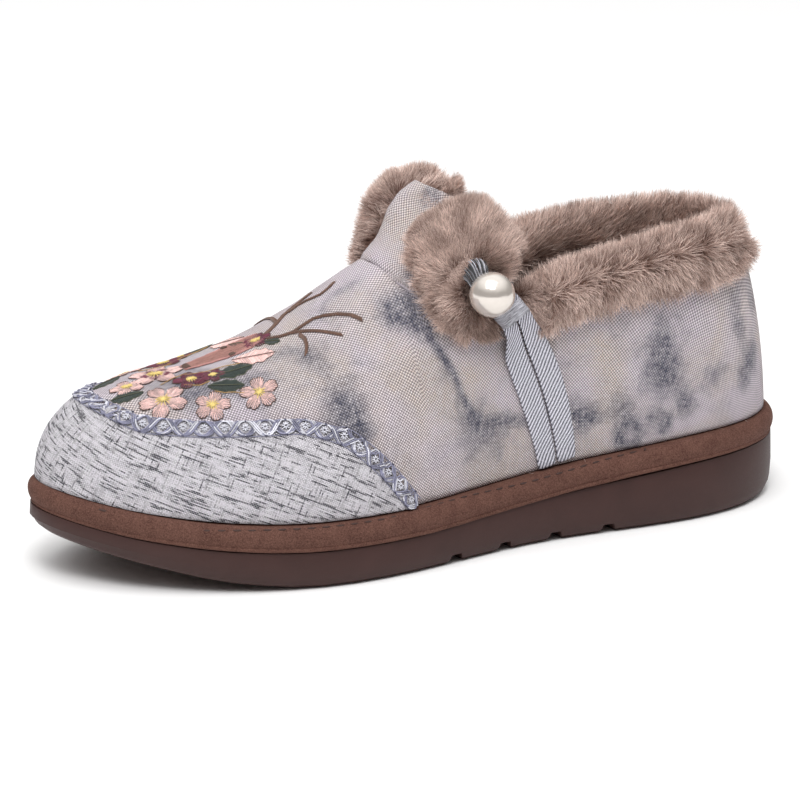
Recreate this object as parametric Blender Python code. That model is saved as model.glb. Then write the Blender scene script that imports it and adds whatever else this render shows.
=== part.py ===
"""Low winter shoe in cloth with a fur collar, a linen toe cap and a pearl button loop.

A left shoe standing on its sole. +X runs to the heel, -X to the toe, -Y is the outer
(lateral) side, +Y the inner (medial) side and +Z is up. The origin lies on the floor
under the middle of the sole. Tables and sizes are in millimetres, and every mesh is
turned into metres when its object is made.

Three measures place a point on the shoe: from_heel runs along the foot from the back of
the midsole, across runs over the foot with the medial side positive, and height is
measured from the floor.
"""

import math

import bmesh
import bpy
import numpy as np


def table(names, *rows):
    """Named columns from rows of numbers."""
    return dict(zip(names.split(), np.array(rows, float).T))


def rows_of(columns):
    """The rows of a table, one after another."""
    return [tuple(float(v) for v in row) for row in zip(*columns.values())]


MM = 0.001
LATERAL = -1
MEDIAL = 1

# Driving sizes
SHOE_LENGTH = 262.0
FIT_GAP = 0.3
CUT_EDGE_GAP = 1.0
LINING_GAP = 0.5
MIDSOLE_HEIGHT = 8.0
WALL = 2.6
CAP_THICKNESS = 1.2
CAP_GAP = 0.4
INSOLE_THICKNESS = 4.0
INSOLE_ROUNDING = 1.2
PEARL_DIAMETER = 14.8
RIBBON_THICKNESS = 1.0

# Across the foot, the middle between the midsole's two widest points
MID_WIDTH = -0.55

# Where the toe's and the heel's rounded ends are centred on the spine of the last
TOE_CENTRE = 214.0
HEEL_CENTRE = 36.0

# Mesh fineness, and how near two points become one
SOLE_STATIONS = 36
TOE_FAN = 15
HEEL_FAN = 12
UPPER_ROWS = 10
CAP_ROWS = 6
TAB_ROWS = 8
TAB_STATIONS = (111, 113, 116, 120, 123, 125.5, 127, 128, 133, 138, 143, 147.2)
COLLAR_STATIONS = 12
SEAT_STEPS = 5
LAPEL_STATIONS = 14
OVER_TOP_STATIONS = 3
WELD = 0.02

# Plan of the midsole, the widest piece, as a closed loop from the heel round the medial side
PLAN = table(
    "from_heel across",
    (0, 1), (12, 24), (38, 35.5), (105, 35), (182, 47.5), (236, 36.5), (257, 19.5),
    (262, 5), (255, -12.5), (228, -34.5), (170, -48.6), (105, -36.9), (38, -35), (12, -22.5),
)

# Lines along the sole: its underside and the top of the rubber
SOLE = table(
    "from_heel ground rubber_top",
    (0, 1.5, 21.0), (14, 0, 20.9), (40, 0, 20.3), (80, 0, 17.4), (120, 0, 13.9), (160, 0, 12.2),
    (185, 0, 12.2), (210, 2.4, 13.6), (235, 8.2, 17.0), (250, 12.2, 20.2), (262, 15.4, 23.2),
)

# Side of the outsole from its underside up: set back from the plan along the sides and at the
# ends, then as a share of the rubber's height and a lift off the ground
END_ROUNDING = 30.0
OUTSOLE_SIDE = table(
    "setback end_setback share lift",
    (7.0, 7.0, 0, 0), (3.2, 4.8, 0, 0.5), (1.7, 2.4, 0, 1.8), (1.1, 0.9, 0, 4.2),
    (1.0, 0.5, 0.5, 0), (1.3, 0.8, 1, 0),
)

# Grooves across the underside, which show as notches on the sole's side
GROOVE_STATIONS = (80.0, 99.5, 119.0, 138.5)
GROOVE = table("along height", (-3.6, -1), (3.6, -1), (3.0, 0.6), (1.8, 3.2), (-1.8, 3.2), (-3.0, 0.6))

# Side of the midsole from its underside over the rolled edge to the stitched channel
MIDSOLE_SIDE = table(
    "setback share",
    (9.0, 0), (2.0, 0), (0.7, 0.14), (0, 0.42), (0.3, 0.72), (1.5, 0.93),
    (2.6, 1.0), (3.4, 0.93), (4.2, 1.0), (9.0, 1.0),
)

# Lines along the last: how far it stands in from the midsole's edge, the top of its ridge, where
# the ridge runs, and the fullness of its section
LAST = table(
    "from_heel ledge ridge ridge_across side_power top_power",
    (0, 3.0, 108, 0, 2.4, 1.6), (20, 3.8, 109, 0, 2.4, 1.6), (40, 4.6, 117, 0, 2.4, 1.75),
    (60, 5.0, 129, 0, 2.4, 1.9), (75, 5.2, 134, 0.5, 2.4, 2.0), (90, 5.4, 135, 1, 2.4, 2.0),
    (105, 5.6, 131, 2, 2.4, 2.0), (118, 5.6, 122, 3, 2.4, 2.0), (128, 5.6, 112.5, 3.5, 2.4, 2.0),
    (138, 5.6, 99, 4, 2.4, 2.0), (148, 5.6, 89.5, 4, 2.4, 2.0), (160, 5.6, 82, 4.5, 2.4, 2.0),
    (174, 5.6, 74, 5, 2.4, 2.0), (187, 5.6, 68, 5, 2.5, 2.0), (204, 5.4, 62.5, 5.5, 2.7, 2.1),
    (220, 5.0, 59.3, 5.5, 3.2, 2.2), (235, 4.4, 57.5, 5.5, 3.6, 2.3), (248, 3.8, 55.8, 5, 3.8, 2.3),
    (262, 3.2, 54, 5, 3.8, 2.3),
)

# Top edge of the cloth in side view: the collar behind the notch, then the throat tab's edge
NOTCH = 109.0
TAB_TOP = 128.0
TOPLINE = table(
    "from_heel height",
    (0, 91.5), (20, 92), (50, 91), (80, 87.2), (100, 83), (106, 81), (109, 80), (111, 85),
    (113, 92), (116, 99), (120, 106), (124, 110.3), (128, 112.5),
)

# Seam that joins the throat tab to the vamp, in side view
TAB_SEAM = 148.0
SEAM = table(
    "from_heel height",
    (109, 79.8), (118, 76), (130, 75.5), (138, 78), (142, 81.5), (145.5, 86.5), (148, 89.5),
)

# Top edge of the toe cap in side view, from where it leaves the midsole to the toe
CAP_START = 153.0
CAP_EDGE = table(
    "from_heel height",
    (153, 22), (158, 28.5), (164.5, 36.5), (175, 46.3), (188, 50.5),
    (203, 50.4), (217, 50.8), (240, 52.3), (262, 54),
)

# Fur section: down one face of a cuff, as shares of its reach below the edge and of its fatness
CUFF_FACE = table("share fat", (1.0, 0.4), (0.92, 0.8), (0.66, 1.0), (0.33, 1.0), (0, 0.85))
CUFF_INSIDE_REACH = 11.0
CUFF_INSIDE_FAT = 6.0
LOCK_HEIGHT = 0.5
LOCK_VARIES = 0.6
COLLAR_FRONT = 102.6
COLLAR = table(
    "from_heel reach fat rise",
    (0, 15, 3.6, 8), (20, 15, 4.4, 8), (40, 15, 7, 7), (60, 15, 8, 6), (103, 15, 8, 5.5),
)

# Fur lapels of the tab, by shares of the way up its edge: where the fur sits on the edge, where it
# ends on the cloth, how fat it is and how far it stands over the edge. The medial lapel goes on over
# the top of the tab, as far as the lateral one.
LATERAL_LAPEL = table(
    "share edge lap lap_height fat rise",
    (0, 112.6, 130.5, 70, 4.5, 4.5), (0.15, 112.9, 137, 73.5, 8.5, 5.5), (0.4, 114, 140.5, 83, 10, 5.5),
    (0.7, 117, 139.5, 93, 10, 5.5), (0.9, 119.5, 134.5, 101, 9, 5.5), (1, 121.3, 129, 105, 7, 4.5),
)
MEDIAL_LAPEL = table(
    "share edge lap lap_height fat rise",
    (0, 112.6, 130.5, 70, 4.5, 4.5), (0.12, 112.9, 137, 73.5, 8.5, 5.5), (0.32, 114, 140.5, 83, 10, 5.5),
    (0.58, 118, 138, 95, 11, 7), (0.75, 122, 133.5, 103.5, 9.5, 8.5), (0.85, 125.1, 131.8, 106, 7.5, 8.5),
    (0.925, 127, 131.6, 107.3, 6, 8.5), (1, 128, 132, 110, 5, 8.5),
)
OVER_TOP = table(
    "share edge lap lap_height fat rise",
    (0, 127, 131, 107, 4.5, 8), (1, 125, 129, 107.5, 3, 5),
)

# Ribbon: the line that its two legs follow from the midsole up to the button, in side view, and
# the recess in the lateral lapel where the loop passes behind the button
RIBBON = table(
    "from_heel height out width spread",
    (97.8, 27, 0.3, 6.2, 3.4), (99.6, 36, 0.3, 6.2, 3.4), (102.2, 46, 0.3, 6.4, 3.5),
    (105.6, 56, 0.3, 6.4, 3.5), (109.6, 65, 1.0, 6.2, 3.4), (112.8, 71.2, 4.4, 5.6, 3.1),
    (115.6, 75.5, 5.2, 5.2, 2.9), (119.4, 80.2, 5.4, 4.8, 2.7), (122.0, 84.2, 5.4, 4.6, 2.6),
)
PEARL_STATION = 125.6
PEARL_HEIGHT = 81.2
RECESS_STATION = 123.0
RECESS_HEIGHT = 83.0
RECESS_OUT = 11.2
RECESS_RADIUS = 10.2
KEEPER_SHARE = 0.72
KEEPER_LENGTH = 7.0
KEEPER_THICKNESS = 0.9


def blend_curve(stations, values, where):
    """Smooth curve through a table that never overshoots it (monotone cubic)."""
    step = np.diff(stations)
    slope = np.diff(values) / step
    bend = np.zeros(len(values))
    bend[0], bend[-1] = slope[0], slope[-1]
    for i in range(1, len(slope)):
        if slope[i - 1] * slope[i] > 0:
            bend[i] = 2 * slope[i - 1] * slope[i] / (slope[i - 1] + slope[i])
    i = np.clip(np.searchsorted(stations, where, side="right") - 1, 0, len(step) - 1)
    t = np.clip((where - stations[i]) / step[i], 0, 1)
    start = (1 + 2 * t) * (1 - t) ** 2 * values[i] + t * (1 - t) ** 2 * step[i] * bend[i]
    end = t * t * (3 - 2 * t) * values[i + 1] + t * t * (t - 1) * step[i] * bend[i + 1]
    return start + end


DENSE = np.arange(0.0, SHOE_LENGTH + 0.5, 0.5)


def dense_lines(lines):
    """Each column of a table along the foot, read off every half millimetre."""
    stations = lines["from_heel"]
    return {name: blend_curve(stations, lines[name], DENSE) for name in lines if name != "from_heel"}


SOLE_LINE = dense_lines(SOLE)
LAST_LINE = dense_lines(LAST)
TOP_LINE = dense_lines(TOPLINE)["height"]
SEAM_LINE = dense_lines(SEAM)["height"]
CAP_LINE = dense_lines(CAP_EDGE)["height"]
COLLAR_LINE = dense_lines(COLLAR)


def along(line, from_heel):
    """A line's value at one station."""
    return float(np.interp(from_heel, DENSE, line))


def feather_height(from_heel):
    """Top of the midsole, where the upper stands."""
    return along(SOLE_LINE["rubber_top"], from_heel) + MIDSOLE_HEIGHT


# Plan outlines


def closed_spline(plan, count):
    """Closed cubic spline through a plan table, as count points spaced by its chords."""
    points = np.column_stack([plan["from_heel"], plan["across"]])
    size = len(points)
    span = np.linalg.norm(np.roll(points, -1, 0) - points, axis=1)
    system, pull = np.zeros((size, size)), np.zeros((size, 2))
    for i in range(size):
        before, after = (i - 1) % size, (i + 1) % size
        system[i, before] += span[before]
        system[i, i] += 2 * (span[before] + span[i])
        system[i, after] += span[i]
        ahead, behind = points[after] - points[i], points[i] - points[before]
        pull[i] = 6 * (ahead / span[i] - behind / span[before])
    bend = np.linalg.solve(system, pull)
    knots = np.concatenate([[0], np.cumsum(span)])
    where = np.linspace(0, knots[-1], count, endpoint=False)
    i = np.minimum(np.searchsorted(knots, where, side="right") - 1, size - 1)
    j, h = (i + 1) % size, span[i][:, None]
    a, b = (where - knots[i])[:, None], (knots[i + 1] - where)[:, None]
    cubic = (bend[i] * b**3 + bend[j] * a**3) / (6 * h)
    return cubic + (points[i] / h - bend[i] * h / 6) * b + (points[j] / h - bend[j] * h / 6) * a


def inset(outline, distance):
    """The outline moved inwards by a distance, the same all round or one for each point."""
    ahead = np.roll(outline, -1, 0) - np.roll(outline, 1, 0)
    ahead /= np.linalg.norm(ahead, axis=1)[:, None]
    inwards = np.column_stack([ahead[:, 1], -ahead[:, 0]])
    return outline + inwards * np.reshape(distance, (-1, 1))


MIDSOLE_PLAN = closed_spline(PLAN, 720)
LEDGE = np.interp(MIDSOLE_PLAN[:, 0], DENSE, LAST_LINE["ledge"])
FEATHER = inset(MIDSOLE_PLAN, LEDGE)


def edge_across(outline, from_heel, side):
    """Where an outline's lateral or medial side lies at a station."""
    toe, heel = outline[:, 0].argmax(), outline[:, 0].argmin()
    medial = np.roll(outline, -heel, 0)[: (toe - heel) % len(outline) + 1]
    lateral = np.roll(outline, -toe, 0)[: (heel - toe) % len(outline) + 1][::-1]
    path = medial if side == MEDIAL else lateral
    return float(np.interp(from_heel, np.maximum.accumulate(path[:, 0]), path[:, 1]))


# The last: a domed form over the feather line, built on a spine from toe centre to heel centre


def spine(from_heel):
    """The spine point that a plan point looks back to."""
    station = min(max(from_heel, HEEL_CENTRE), TOE_CENTRE)
    return np.array([station, along(LAST_LINE["ridge_across"], station)])


def fan_table(centre):
    """Directions and distances of the feather line from a spine end."""
    away = FEATHER - centre
    angle = np.arctan2(away[:, 1], away[:, 0])
    order = angle.argsort()
    return angle[order], np.linalg.norm(away, axis=1)[order]


TOE_REACH = fan_table(spine(TOE_CENTRE))
HEEL_REACH = fan_table(spine(HEEL_CENTRE))
SIDE_REACH = {
    side: np.array([edge_across(FEATHER, station, side) for station in DENSE]) for side in (LATERAL, MEDIAL)
}


def fan_edge(fan, root, angle):
    """The feather point that a spine end sees at an angle."""
    far = np.interp(angle, *fan, period=2 * math.pi)
    return root + np.array([math.cos(angle), math.sin(angle)]) * far


def side_edge(from_heel, side):
    """The feather point at a station on one side."""
    return np.array([from_heel, along(SIDE_REACH[side], from_heel)])


def edge_beyond(plan):
    """The feather point that a plan point's spine point sees through it."""
    root = spine(plan[0])
    away = plan - root
    if plan[0] > TOE_CENTRE:
        return fan_edge(TOE_REACH, root, math.atan2(away[1], away[0]))
    if plan[0] < HEEL_CENTRE:
        return fan_edge(HEEL_REACH, root, math.atan2(away[1], away[0]))
    return side_edge(plan[0], MEDIAL if away[1] >= 0 else LATERAL)


def powers(edge):
    """How full the section over a feather point is to the side and to the top."""
    return along(LAST_LINE["side_power"], edge[0]), along(LAST_LINE["top_power"], edge[0])


def ridge_height(from_heel):
    return along(LAST_LINE["ridge"], from_heel)


def fullness(point):
    """1 on the last's surface, less inside it and more outside it."""
    plan, height = point[:2], point[2]
    root, edge = spine(plan[0]), edge_beyond(plan)
    side_power, top_power = powers(edge)
    base = feather_height(plan[0])
    rise = max((height - base) / (ridge_height(plan[0]) - base), 0)
    share = np.linalg.norm(plan - root) / np.linalg.norm(edge - root)
    return share**side_power + rise**top_power


def outward(point, step=0.25):
    """Unit normal of the last at a point on it."""
    slope = np.array([fullness(point + d) - fullness(point - d) for d in np.eye(3) * step])
    return slope / np.linalg.norm(slope)


def last_point(edge, turn):
    """Point on the last above a feather point, from turn 0 at the feather to 1 on the spine."""
    side_power, top_power = powers(edge)
    angle = turn * math.pi / 2
    root = spine(edge[0])
    plan = root + max(math.cos(angle), 0) ** (2 / side_power) * (edge - root)
    base = feather_height(plan[0])
    return np.array([*plan, base + (ridge_height(plan[0]) - base) * math.sin(angle) ** (2 / top_power)])


def turn_at(edge, height):
    """The turn at which a feather point's section reaches a height."""
    low, high = 0.0, 1.0
    for _ in range(30):
        middle = (low + high) / 2
        if last_point(edge, middle)[2] < height:
            low = middle
        else:
            high = middle
    return high


def on_side(from_heel, height, side, out=0.0):
    """Point on one side of the last at a station and height, moved out along its normal."""
    edge = side_edge(from_heel, side)
    point = last_point(edge, turn_at(edge, height))
    return point + outward(point) * out


def side_stations(first, last):
    """Stations along one side between two others, closest together round the throat."""
    full = np.concatenate([
        np.linspace(HEEL_CENTRE, 100, 8), (104.5, 107, 109, 111, 113, 116, 120, 124, 128, 133, 138),
        (143, 147.2, 148, 153), np.linspace(158, TOE_CENTRE, 8),
    ])
    return [float(s) for s in full if first <= s <= last]


def fan_edges(fan, centre_station, count, towards):
    """Feather points round one end, from its lateral side to its medial side."""
    turns = [math.pi * (k / count - 0.5) for k in range(1, count)]
    return [fan_edge(fan, spine(centre_station), turn if towards > 0 else math.pi - turn) for turn in turns]


def toe_columns(first):
    """Feather points from a lateral station round the toe to the medial one."""
    stations = side_stations(first, TOE_CENTRE)
    lateral = [side_edge(s, LATERAL) for s in stations]
    medial = [side_edge(s, MEDIAL) for s in reversed(stations)]
    return lateral + fan_edges(TOE_REACH, TOE_CENTRE, TOE_FAN, 1) + medial


# Mesh making


def principled(name, colour, roughness):
    material = bpy.data.materials.new(name)
    material.use_nodes = True
    shader = material.node_tree.nodes["Principled BSDF"]
    shader.inputs["Base Color"].default_value = (*colour, 1)
    shader.inputs["Roughness"].default_value = roughness
    shader.inputs["Metallic"].default_value = 0
    return material


def to_metres(point):
    """World place of a point given as from_heel, across and height."""
    return ((SHOE_LENGTH / 2 - point[0]) * MM, (point[1] - MID_WIDTH) * MM, point[2] * MM)


def make_object(name, shape, material, parent):
    """One smooth, closed mesh object from points in millimetres and the faces between them."""
    points, faces = shape
    made = bmesh.new()
    corners = [made.verts.new(to_metres(p)) for p in points]
    for face in faces:
        loop = [corners[i] for i in dict.fromkeys(face)]
        if len(loop) > 2:
            made.faces.new(loop)
    bmesh.ops.remove_doubles(made, verts=made.verts, dist=WELD * MM)
    bmesh.ops.dissolve_degenerate(made, edges=made.edges, dist=WELD * MM / 4)
    bmesh.ops.recalc_face_normals(made, faces=made.faces)
    if made.calc_volume(signed=True) < 0:
        bmesh.ops.reverse_faces(made, faces=made.faces)
    mesh = bpy.data.meshes.new(name)
    made.to_mesh(mesh)
    made.free()
    mesh.shade_smooth()
    mesh.set_sharp_from_angle(angle=math.radians(45))
    if material:
        mesh.materials.append(material)
    built = bpy.data.objects.new(name, mesh)
    bpy.context.scene.collection.objects.link(built)
    built.parent = parent
    return built


def cut_away(body, name, shape, parent):
    """Takes a shape out of a body."""
    cutter = make_object(name, shape, None, parent)
    cutter.hide_render = True
    cutter.display_type = "WIRE"
    cut = body.modifiers.new(name, "BOOLEAN")
    cut.operation = "DIFFERENCE"
    cut.object = cutter


def joined(*shapes):
    """Several sets of points and faces as one."""
    points, faces = [], []
    for more_points, more_faces in shapes:
        faces += [tuple(i + len(points) for i in face) for face in more_faces]
        points += more_points
    return points, faces


def strip_faces(columns, rows, closed, start=0):
    """Quads of a grid of columns by rows, numbered column by column."""
    faces = []
    for c in range(columns if closed else columns - 1):
        here, there = start + c * rows, start + (c + 1) % columns * rows
        faces += [(here + r, there + r, there + r + 1, here + r + 1) for r in range(rows - 1)]
    return faces


def ring_faces(levels, size):
    """Quads between closed rings of points, numbered ring by ring."""
    faces = []
    for level in range(levels - 1):
        here, there = level * size, (level + 1) * size
        for k in range(size):
            after = (k + 1) % size
            faces.append((here + k, here + after, there + after, there + k))
    return faces


def sheet_solid(columns, rows, inner, outer, closed=False):
    """Closed wall over the last, inner to outer millimetres off it.

    Each column is a feather point with the turns where its wall starts and ends. A column that
    ends on the spine, at turn 1, meets the one from the other side there.
    """
    outside, inside = [], []
    for edge, start, end in columns:
        for r in range(rows):
            point = last_point(edge, start + (end - start) * r / (rows - 1))
            normal = outward(point)
            outside.append(point + normal * outer)
            inside.append(point + normal * inner)
    count, total = len(columns), len(outside)
    faces = strip_faces(count, rows, closed) + strip_faces(count, rows, closed, total)
    for c in range(count if closed else count - 1):
        d = (c + 1) % count
        meets_spine = columns[c][2] == columns[d][2] == 1
        for r in (0,) if meets_spine else (0, rows - 1):
            here, there = c * rows + r, d * rows + r
            faces.append((here, there, total + there, total + here))
    if not closed:
        for first in (0, (count - 1) * rows):
            back = total + first
            faces += [(first + r, first + r + 1, back + r + 1, back + r) for r in range(rows - 1)]
    return outside + inside, faces


def tube_solid(rings):
    """Closed solid through a run of closed rings, with a fan over each end."""
    size = len(rings[0])
    points = [p for ring in rings for p in ring]
    faces = ring_faces(len(rings), size)
    for first in (0, len(points) - size):
        points.append(np.mean(points[first : first + size], axis=0))
        faces += [(first + k, first + (k + 1) % size, len(points) - 1) for k in range(size)]
    return points, faces


def zip_faces(run, other):
    """Triangles between two runs of points, stepping along whichever lags behind."""
    faces, i, j = [], 0, 0
    while i < len(run) - 1 or j < len(other) - 1:
        if i < len(run) - 1 and (i + 1) * len(other) <= (j + 1) * len(run) or j == len(other) - 1:
            faces.append((run[i], run[i + 1], other[j]))
            i += 1
        else:
            faces.append((run[i], other[j + 1], other[j]))
            j += 1
    return faces


def ball(centre, radius):
    """Closed sphere with its poles across the foot."""
    rings = []
    for k in range(1, 10):
        polar = math.pi * k / 10
        ring = []
        for j in range(18):
            turn = 2 * math.pi * j / 18
            flat = np.array([math.cos(turn), math.sin(turn)]) * math.sin(polar)
            ring.append(centre + radius * np.array([flat[0], math.cos(polar), flat[1]]))
        rings.append(ring)
    points, faces = tube_solid(rings)
    points[-2:] = [centre + [0, radius, 0], centre - [0, radius, 0]]
    return points, faces


# Sole, midsole and insole: rings at matched stations, lofted and capped


def plan_ring(outline):
    """An outline as points at matched lateral and medial stations, toe first, closest at the ends."""
    back, front = outline[:, 0].min(), outline[:, 0].max()
    middle, half = (front + back) / 2, (front - back) / 2
    stations = [middle + half * math.cos(math.pi * k / SOLE_STATIONS) for k in range(SOLE_STATIONS + 1)]
    tips = {0: outline[outline[:, 0].argmax()], SOLE_STATIONS: outline[outline[:, 0].argmin()]}
    lateral = [tips.get(k, (s, edge_across(outline, s, LATERAL))) for k, s in enumerate(stations)]
    medial = [tips.get(k, (s, edge_across(outline, s, MEDIAL))) for k, s in enumerate(stations)]
    return [np.array(p) for p in lateral + medial[-2:0:-1]]


def lofted(rings):
    """Closed solid through rings, capped by strips that run across the foot."""
    size = len(rings[0])
    points = [p for ring in rings for p in ring]
    faces = ring_faces(len(rings), size)
    for here in (0, (len(rings) - 1) * size):
        for k in range(SOLE_STATIONS):
            faces.append((here + k, here + k + 1, here + (size - k - 1) % size, here + (size - k) % size))
    return points, faces


def leveled(setback, height_of):
    """One ring of the midsole's plan, set back and given a height at each station."""
    return [np.array([*p, height_of(p[0])]) for p in plan_ring(inset(MIDSOLE_PLAN, setback))]


def end_share(from_heel):
    """1 at the tips of toe and heel, falling to 0 along the sides."""
    nearest = min(from_heel, SHOE_LENGTH - from_heel)
    return max(0.0, 1 - nearest / END_ROUNDING) ** 2


def build_outsole(material, parent):
    rings = []
    for setback, end_setback, share, lift in rows_of(OUTSOLE_SIDE):
        ring = []
        side_ring = plan_ring(inset(MIDSOLE_PLAN, setback))
        end_ring = plan_ring(inset(MIDSOLE_PLAN, end_setback))
        for p, q in zip(side_ring, end_ring):
            plan = p + (q - p) * end_share(p[0])
            ground = along(SOLE_LINE["ground"], plan[0])
            top = along(SOLE_LINE["rubber_top"], plan[0]) - FIT_GAP
            ring.append(np.array([*plan, ground + lift + (top - ground) * share]))
        rings.append(ring)
    outsole = make_object("outsole", lofted(rings), material, parent)
    for k, station in enumerate(GROOVE_STATIONS):
        rings = []
        for across in (-SHOE_LENGTH / 4, SHOE_LENGTH / 4):
            rings.append([np.array([station + place, across, height]) for place, height in rows_of(GROOVE)])
        cut_away(outsole, f"groove_cutter_{k + 1}", tube_solid(rings), parent)


def build_midsole(material, parent):
    """Wrapped midsole: a rolled edge with a stitched channel beside the upper."""
    rings = []
    for setback, share in rows_of(MIDSOLE_SIDE):
        rings.append(leveled(setback, lambda s, k=share: feather_height(s) - MIDSOLE_HEIGHT * (1 - k)))
    make_object("midsole", lofted(rings), material, parent)


def build_insole(material, parent):
    setback = LEDGE + WALL + 3 * FIT_GAP
    rings = [
        leveled(setback, lambda s: feather_height(s) + FIT_GAP),
        leveled(setback, lambda s: feather_height(s) + INSOLE_THICKNESS - INSOLE_ROUNDING),
        leveled(setback + INSOLE_ROUNDING, lambda s: feather_height(s) + INSOLE_THICKNESS),
    ]
    make_object("insole", lofted(rings), material, parent)


# Cloth pieces


def foot_turn(edge):
    """The turn at which cloth starts, just clear of the midsole."""
    return turn_at(edge, feather_height(edge[0]) + FIT_GAP)


def build_upper(material, parent):
    """Vamp and quarters in one wall, open at the collar, along the tab's seam and underneath."""
    columns = []
    for edge in toe_columns(HEEL_CENTRE) + fan_edges(HEEL_REACH, HEEL_CENTRE, HEEL_FAN, -1)[::-1]:
        if edge[0] >= TAB_SEAM:
            top = 1
        elif edge[0] > NOTCH:
            top = turn_at(edge, along(SEAM_LINE, edge[0]) - FIT_GAP)
        else:
            top = turn_at(edge, along(TOP_LINE, edge[0]))
        columns.append((edge, foot_turn(edge), top))
    make_object("upper", sheet_solid(columns, UPPER_ROWS, -WALL, 0, closed=True), material, parent)


def build_throat_tab(material, parent):
    """Standing tab over the instep, its two sides meeting on the spine in front of its top edge."""
    sides = []
    for side in (LATERAL, MEDIAL):
        columns = []
        for station in TAB_STATIONS:
            edge = side_edge(station, side)
            low = turn_at(edge, along(SEAM_LINE, station) + FIT_GAP)
            high = 1 if station >= TAB_TOP else turn_at(edge, along(TOP_LINE, station))
            columns.append((edge, low, high))
        sides.append(sheet_solid(columns, TAB_ROWS, -WALL, 0))
    make_object("throat_tab", joined(*sides), material, parent)


def build_toe_cap(material, parent):
    columns = []
    for edge in toe_columns(CAP_START):
        columns.append((edge, foot_turn(edge), turn_at(edge, along(CAP_LINE, edge[0]))))
    shape = sheet_solid(columns, CAP_ROWS, CAP_GAP, CAP_GAP + CAP_THICKNESS)
    make_object("toe_cap", shape, material, parent)


# Fur: cuffs turned over an edge of the cloth, with locks raised along the pile


def cuff_section(reach, fat, rise):
    """Section of a cuff as distances below the edge and out from the cloth, furry points first."""
    face = rows_of(CUFF_FACE)
    outer = [(reach * share, fat * full) for share, full in face]
    crest = [(-0.8 * rise, fat / 2), (-rise, -WALL / 2), (-0.8 * rise, -WALL - CUFF_INSIDE_FAT / 2)]
    inside = min(reach, CUFF_INSIDE_REACH)
    inner = [(inside * share, -WALL - CUFF_INSIDE_FAT * full) for share, full in reversed(face)]
    seat = [(inside * share, -WALL - LINING_GAP) for share in (1, 0.5, 0)]
    seat += [(-CUT_EDGE_GAP, -WALL - LINING_GAP), (-CUT_EDGE_GAP, FIT_GAP)]
    seat += [(reach * k / SEAT_STEPS, FIT_GAP) for k in range(SEAT_STEPS + 1)]
    return outer + crest + inner, seat


def cuff_solid(run, seed):
    """Closed fur solid over a run of places, each with its reach, fatness and rise.

    A place turns a depth below the edge and a distance out from the cloth into a point.
    """
    draw = np.random.default_rng(seed)
    rings = []
    for k, (place, *sizes) in enumerate(run):
        furry, seat = cuff_section(*sizes)
        ring = []
        for depth, out in furry:
            lock = LOCK_HEIGHT * (-1) ** k + draw.uniform(-LOCK_VARIES, LOCK_VARIES)
            away = 1 if out > -WALL / 2 else -1
            ring.append(place(depth + 2 * lock * (depth == sizes[0]), out + lock * away))
        rings.append(ring + [place(depth, out) for depth, out in seat])
    size = len(rings[0])
    points = [p for ring in rings for p in ring]
    faces = ring_faces(len(rings), size)
    for first in (0, len(points) - size):
        furry_run = range(first, first + len(furry))
        faces += zip_faces(furry_run, range(first + size - 1, first + len(furry) - 1, -1))
    return points, faces


def place_below(path):
    """A place over a path that runs down the last from an edge of the cloth."""
    top, next_down = path(0.0), path(1.0)
    up = (top - next_down) / np.linalg.norm(top - next_down)
    top_normal = outward(top)

    def place(depth, out):
        if depth <= 0:
            return top - up * depth + top_normal * out
        point = path(depth)
        return point + outward(point) * out

    return place


def collar_place(edge):
    """Down the quarter below the collar's edge at one feather point."""
    top = along(TOP_LINE, edge[0])
    return place_below(lambda depth: last_point(edge, turn_at(edge, top - depth)))


def build_fur_collar(material, parent):
    stations = np.linspace(COLLAR_FRONT, HEEL_CENTRE, COLLAR_STATIONS)
    lateral = [side_edge(s, LATERAL) for s in stations]
    medial = [side_edge(s, MEDIAL) for s in reversed(stations)]
    edges = lateral + fan_edges(HEEL_REACH, HEEL_CENTRE, HEEL_FAN, -1) + medial
    run = []
    for edge in edges:
        sizes = [along(line, edge[0]) for line in COLLAR_LINE.values()]
        run.append((collar_place(edge), *sizes))
    make_object("fur_collar", cuff_solid(run, seed=11), material, parent)


def lapel_place(side, edge_station, lap_station, lap_height):
    """From a point on the tab's edge over the cloth to where the lapel ends, and how far that is."""
    start_turn = turn_at(side_edge(edge_station, side), along(TOP_LINE, edge_station))
    end_turn = turn_at(side_edge(lap_station, side), lap_height)

    def at(share):
        station = edge_station + (lap_station - edge_station) * share
        return last_point(side_edge(station, side), start_turn + (end_turn - start_turn) * share)

    steps = [at(k / 8) for k in range(9)]
    length = sum(np.linalg.norm(b - a) for a, b in zip(steps, steps[1:]))
    return place_below(lambda depth: at(depth / length)), length


def tab_fur_run(rows, side, stations):
    """Places along one edge of the tab, each with its sizes."""
    run = []
    for share in np.linspace(0, 1, stations):
        edge, lap, lap_height, fat, rise = (
            float(blend_curve(rows["share"], rows[name], share)) for name in rows if name != "share"
        )
        place, length = lapel_place(side, edge, lap, lap_height)
        run.append((place, length, fat, rise))
    return run


def build_tab_fur(material, parent):
    lateral = tab_fur_run(LATERAL_LAPEL, LATERAL, LAPEL_STATIONS)
    lapel = make_object("fur_lapel_lateral", cuff_solid(lateral, seed=21), material, parent)
    recess = on_side(RECESS_STATION, RECESS_HEIGHT, LATERAL, RECESS_OUT)
    cut_away(lapel, "recess_cutter", ball(recess, RECESS_RADIUS), parent)
    medial = tab_fur_run(MEDIAL_LAPEL, MEDIAL, LAPEL_STATIONS)
    medial += tab_fur_run(OVER_TOP, LATERAL, OVER_TOP_STATIONS)
    make_object("fur_lapel_medial", cuff_solid(medial, seed=22), material, parent)


# Fastening: ribbon legs, their keeper and the pearl button


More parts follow.
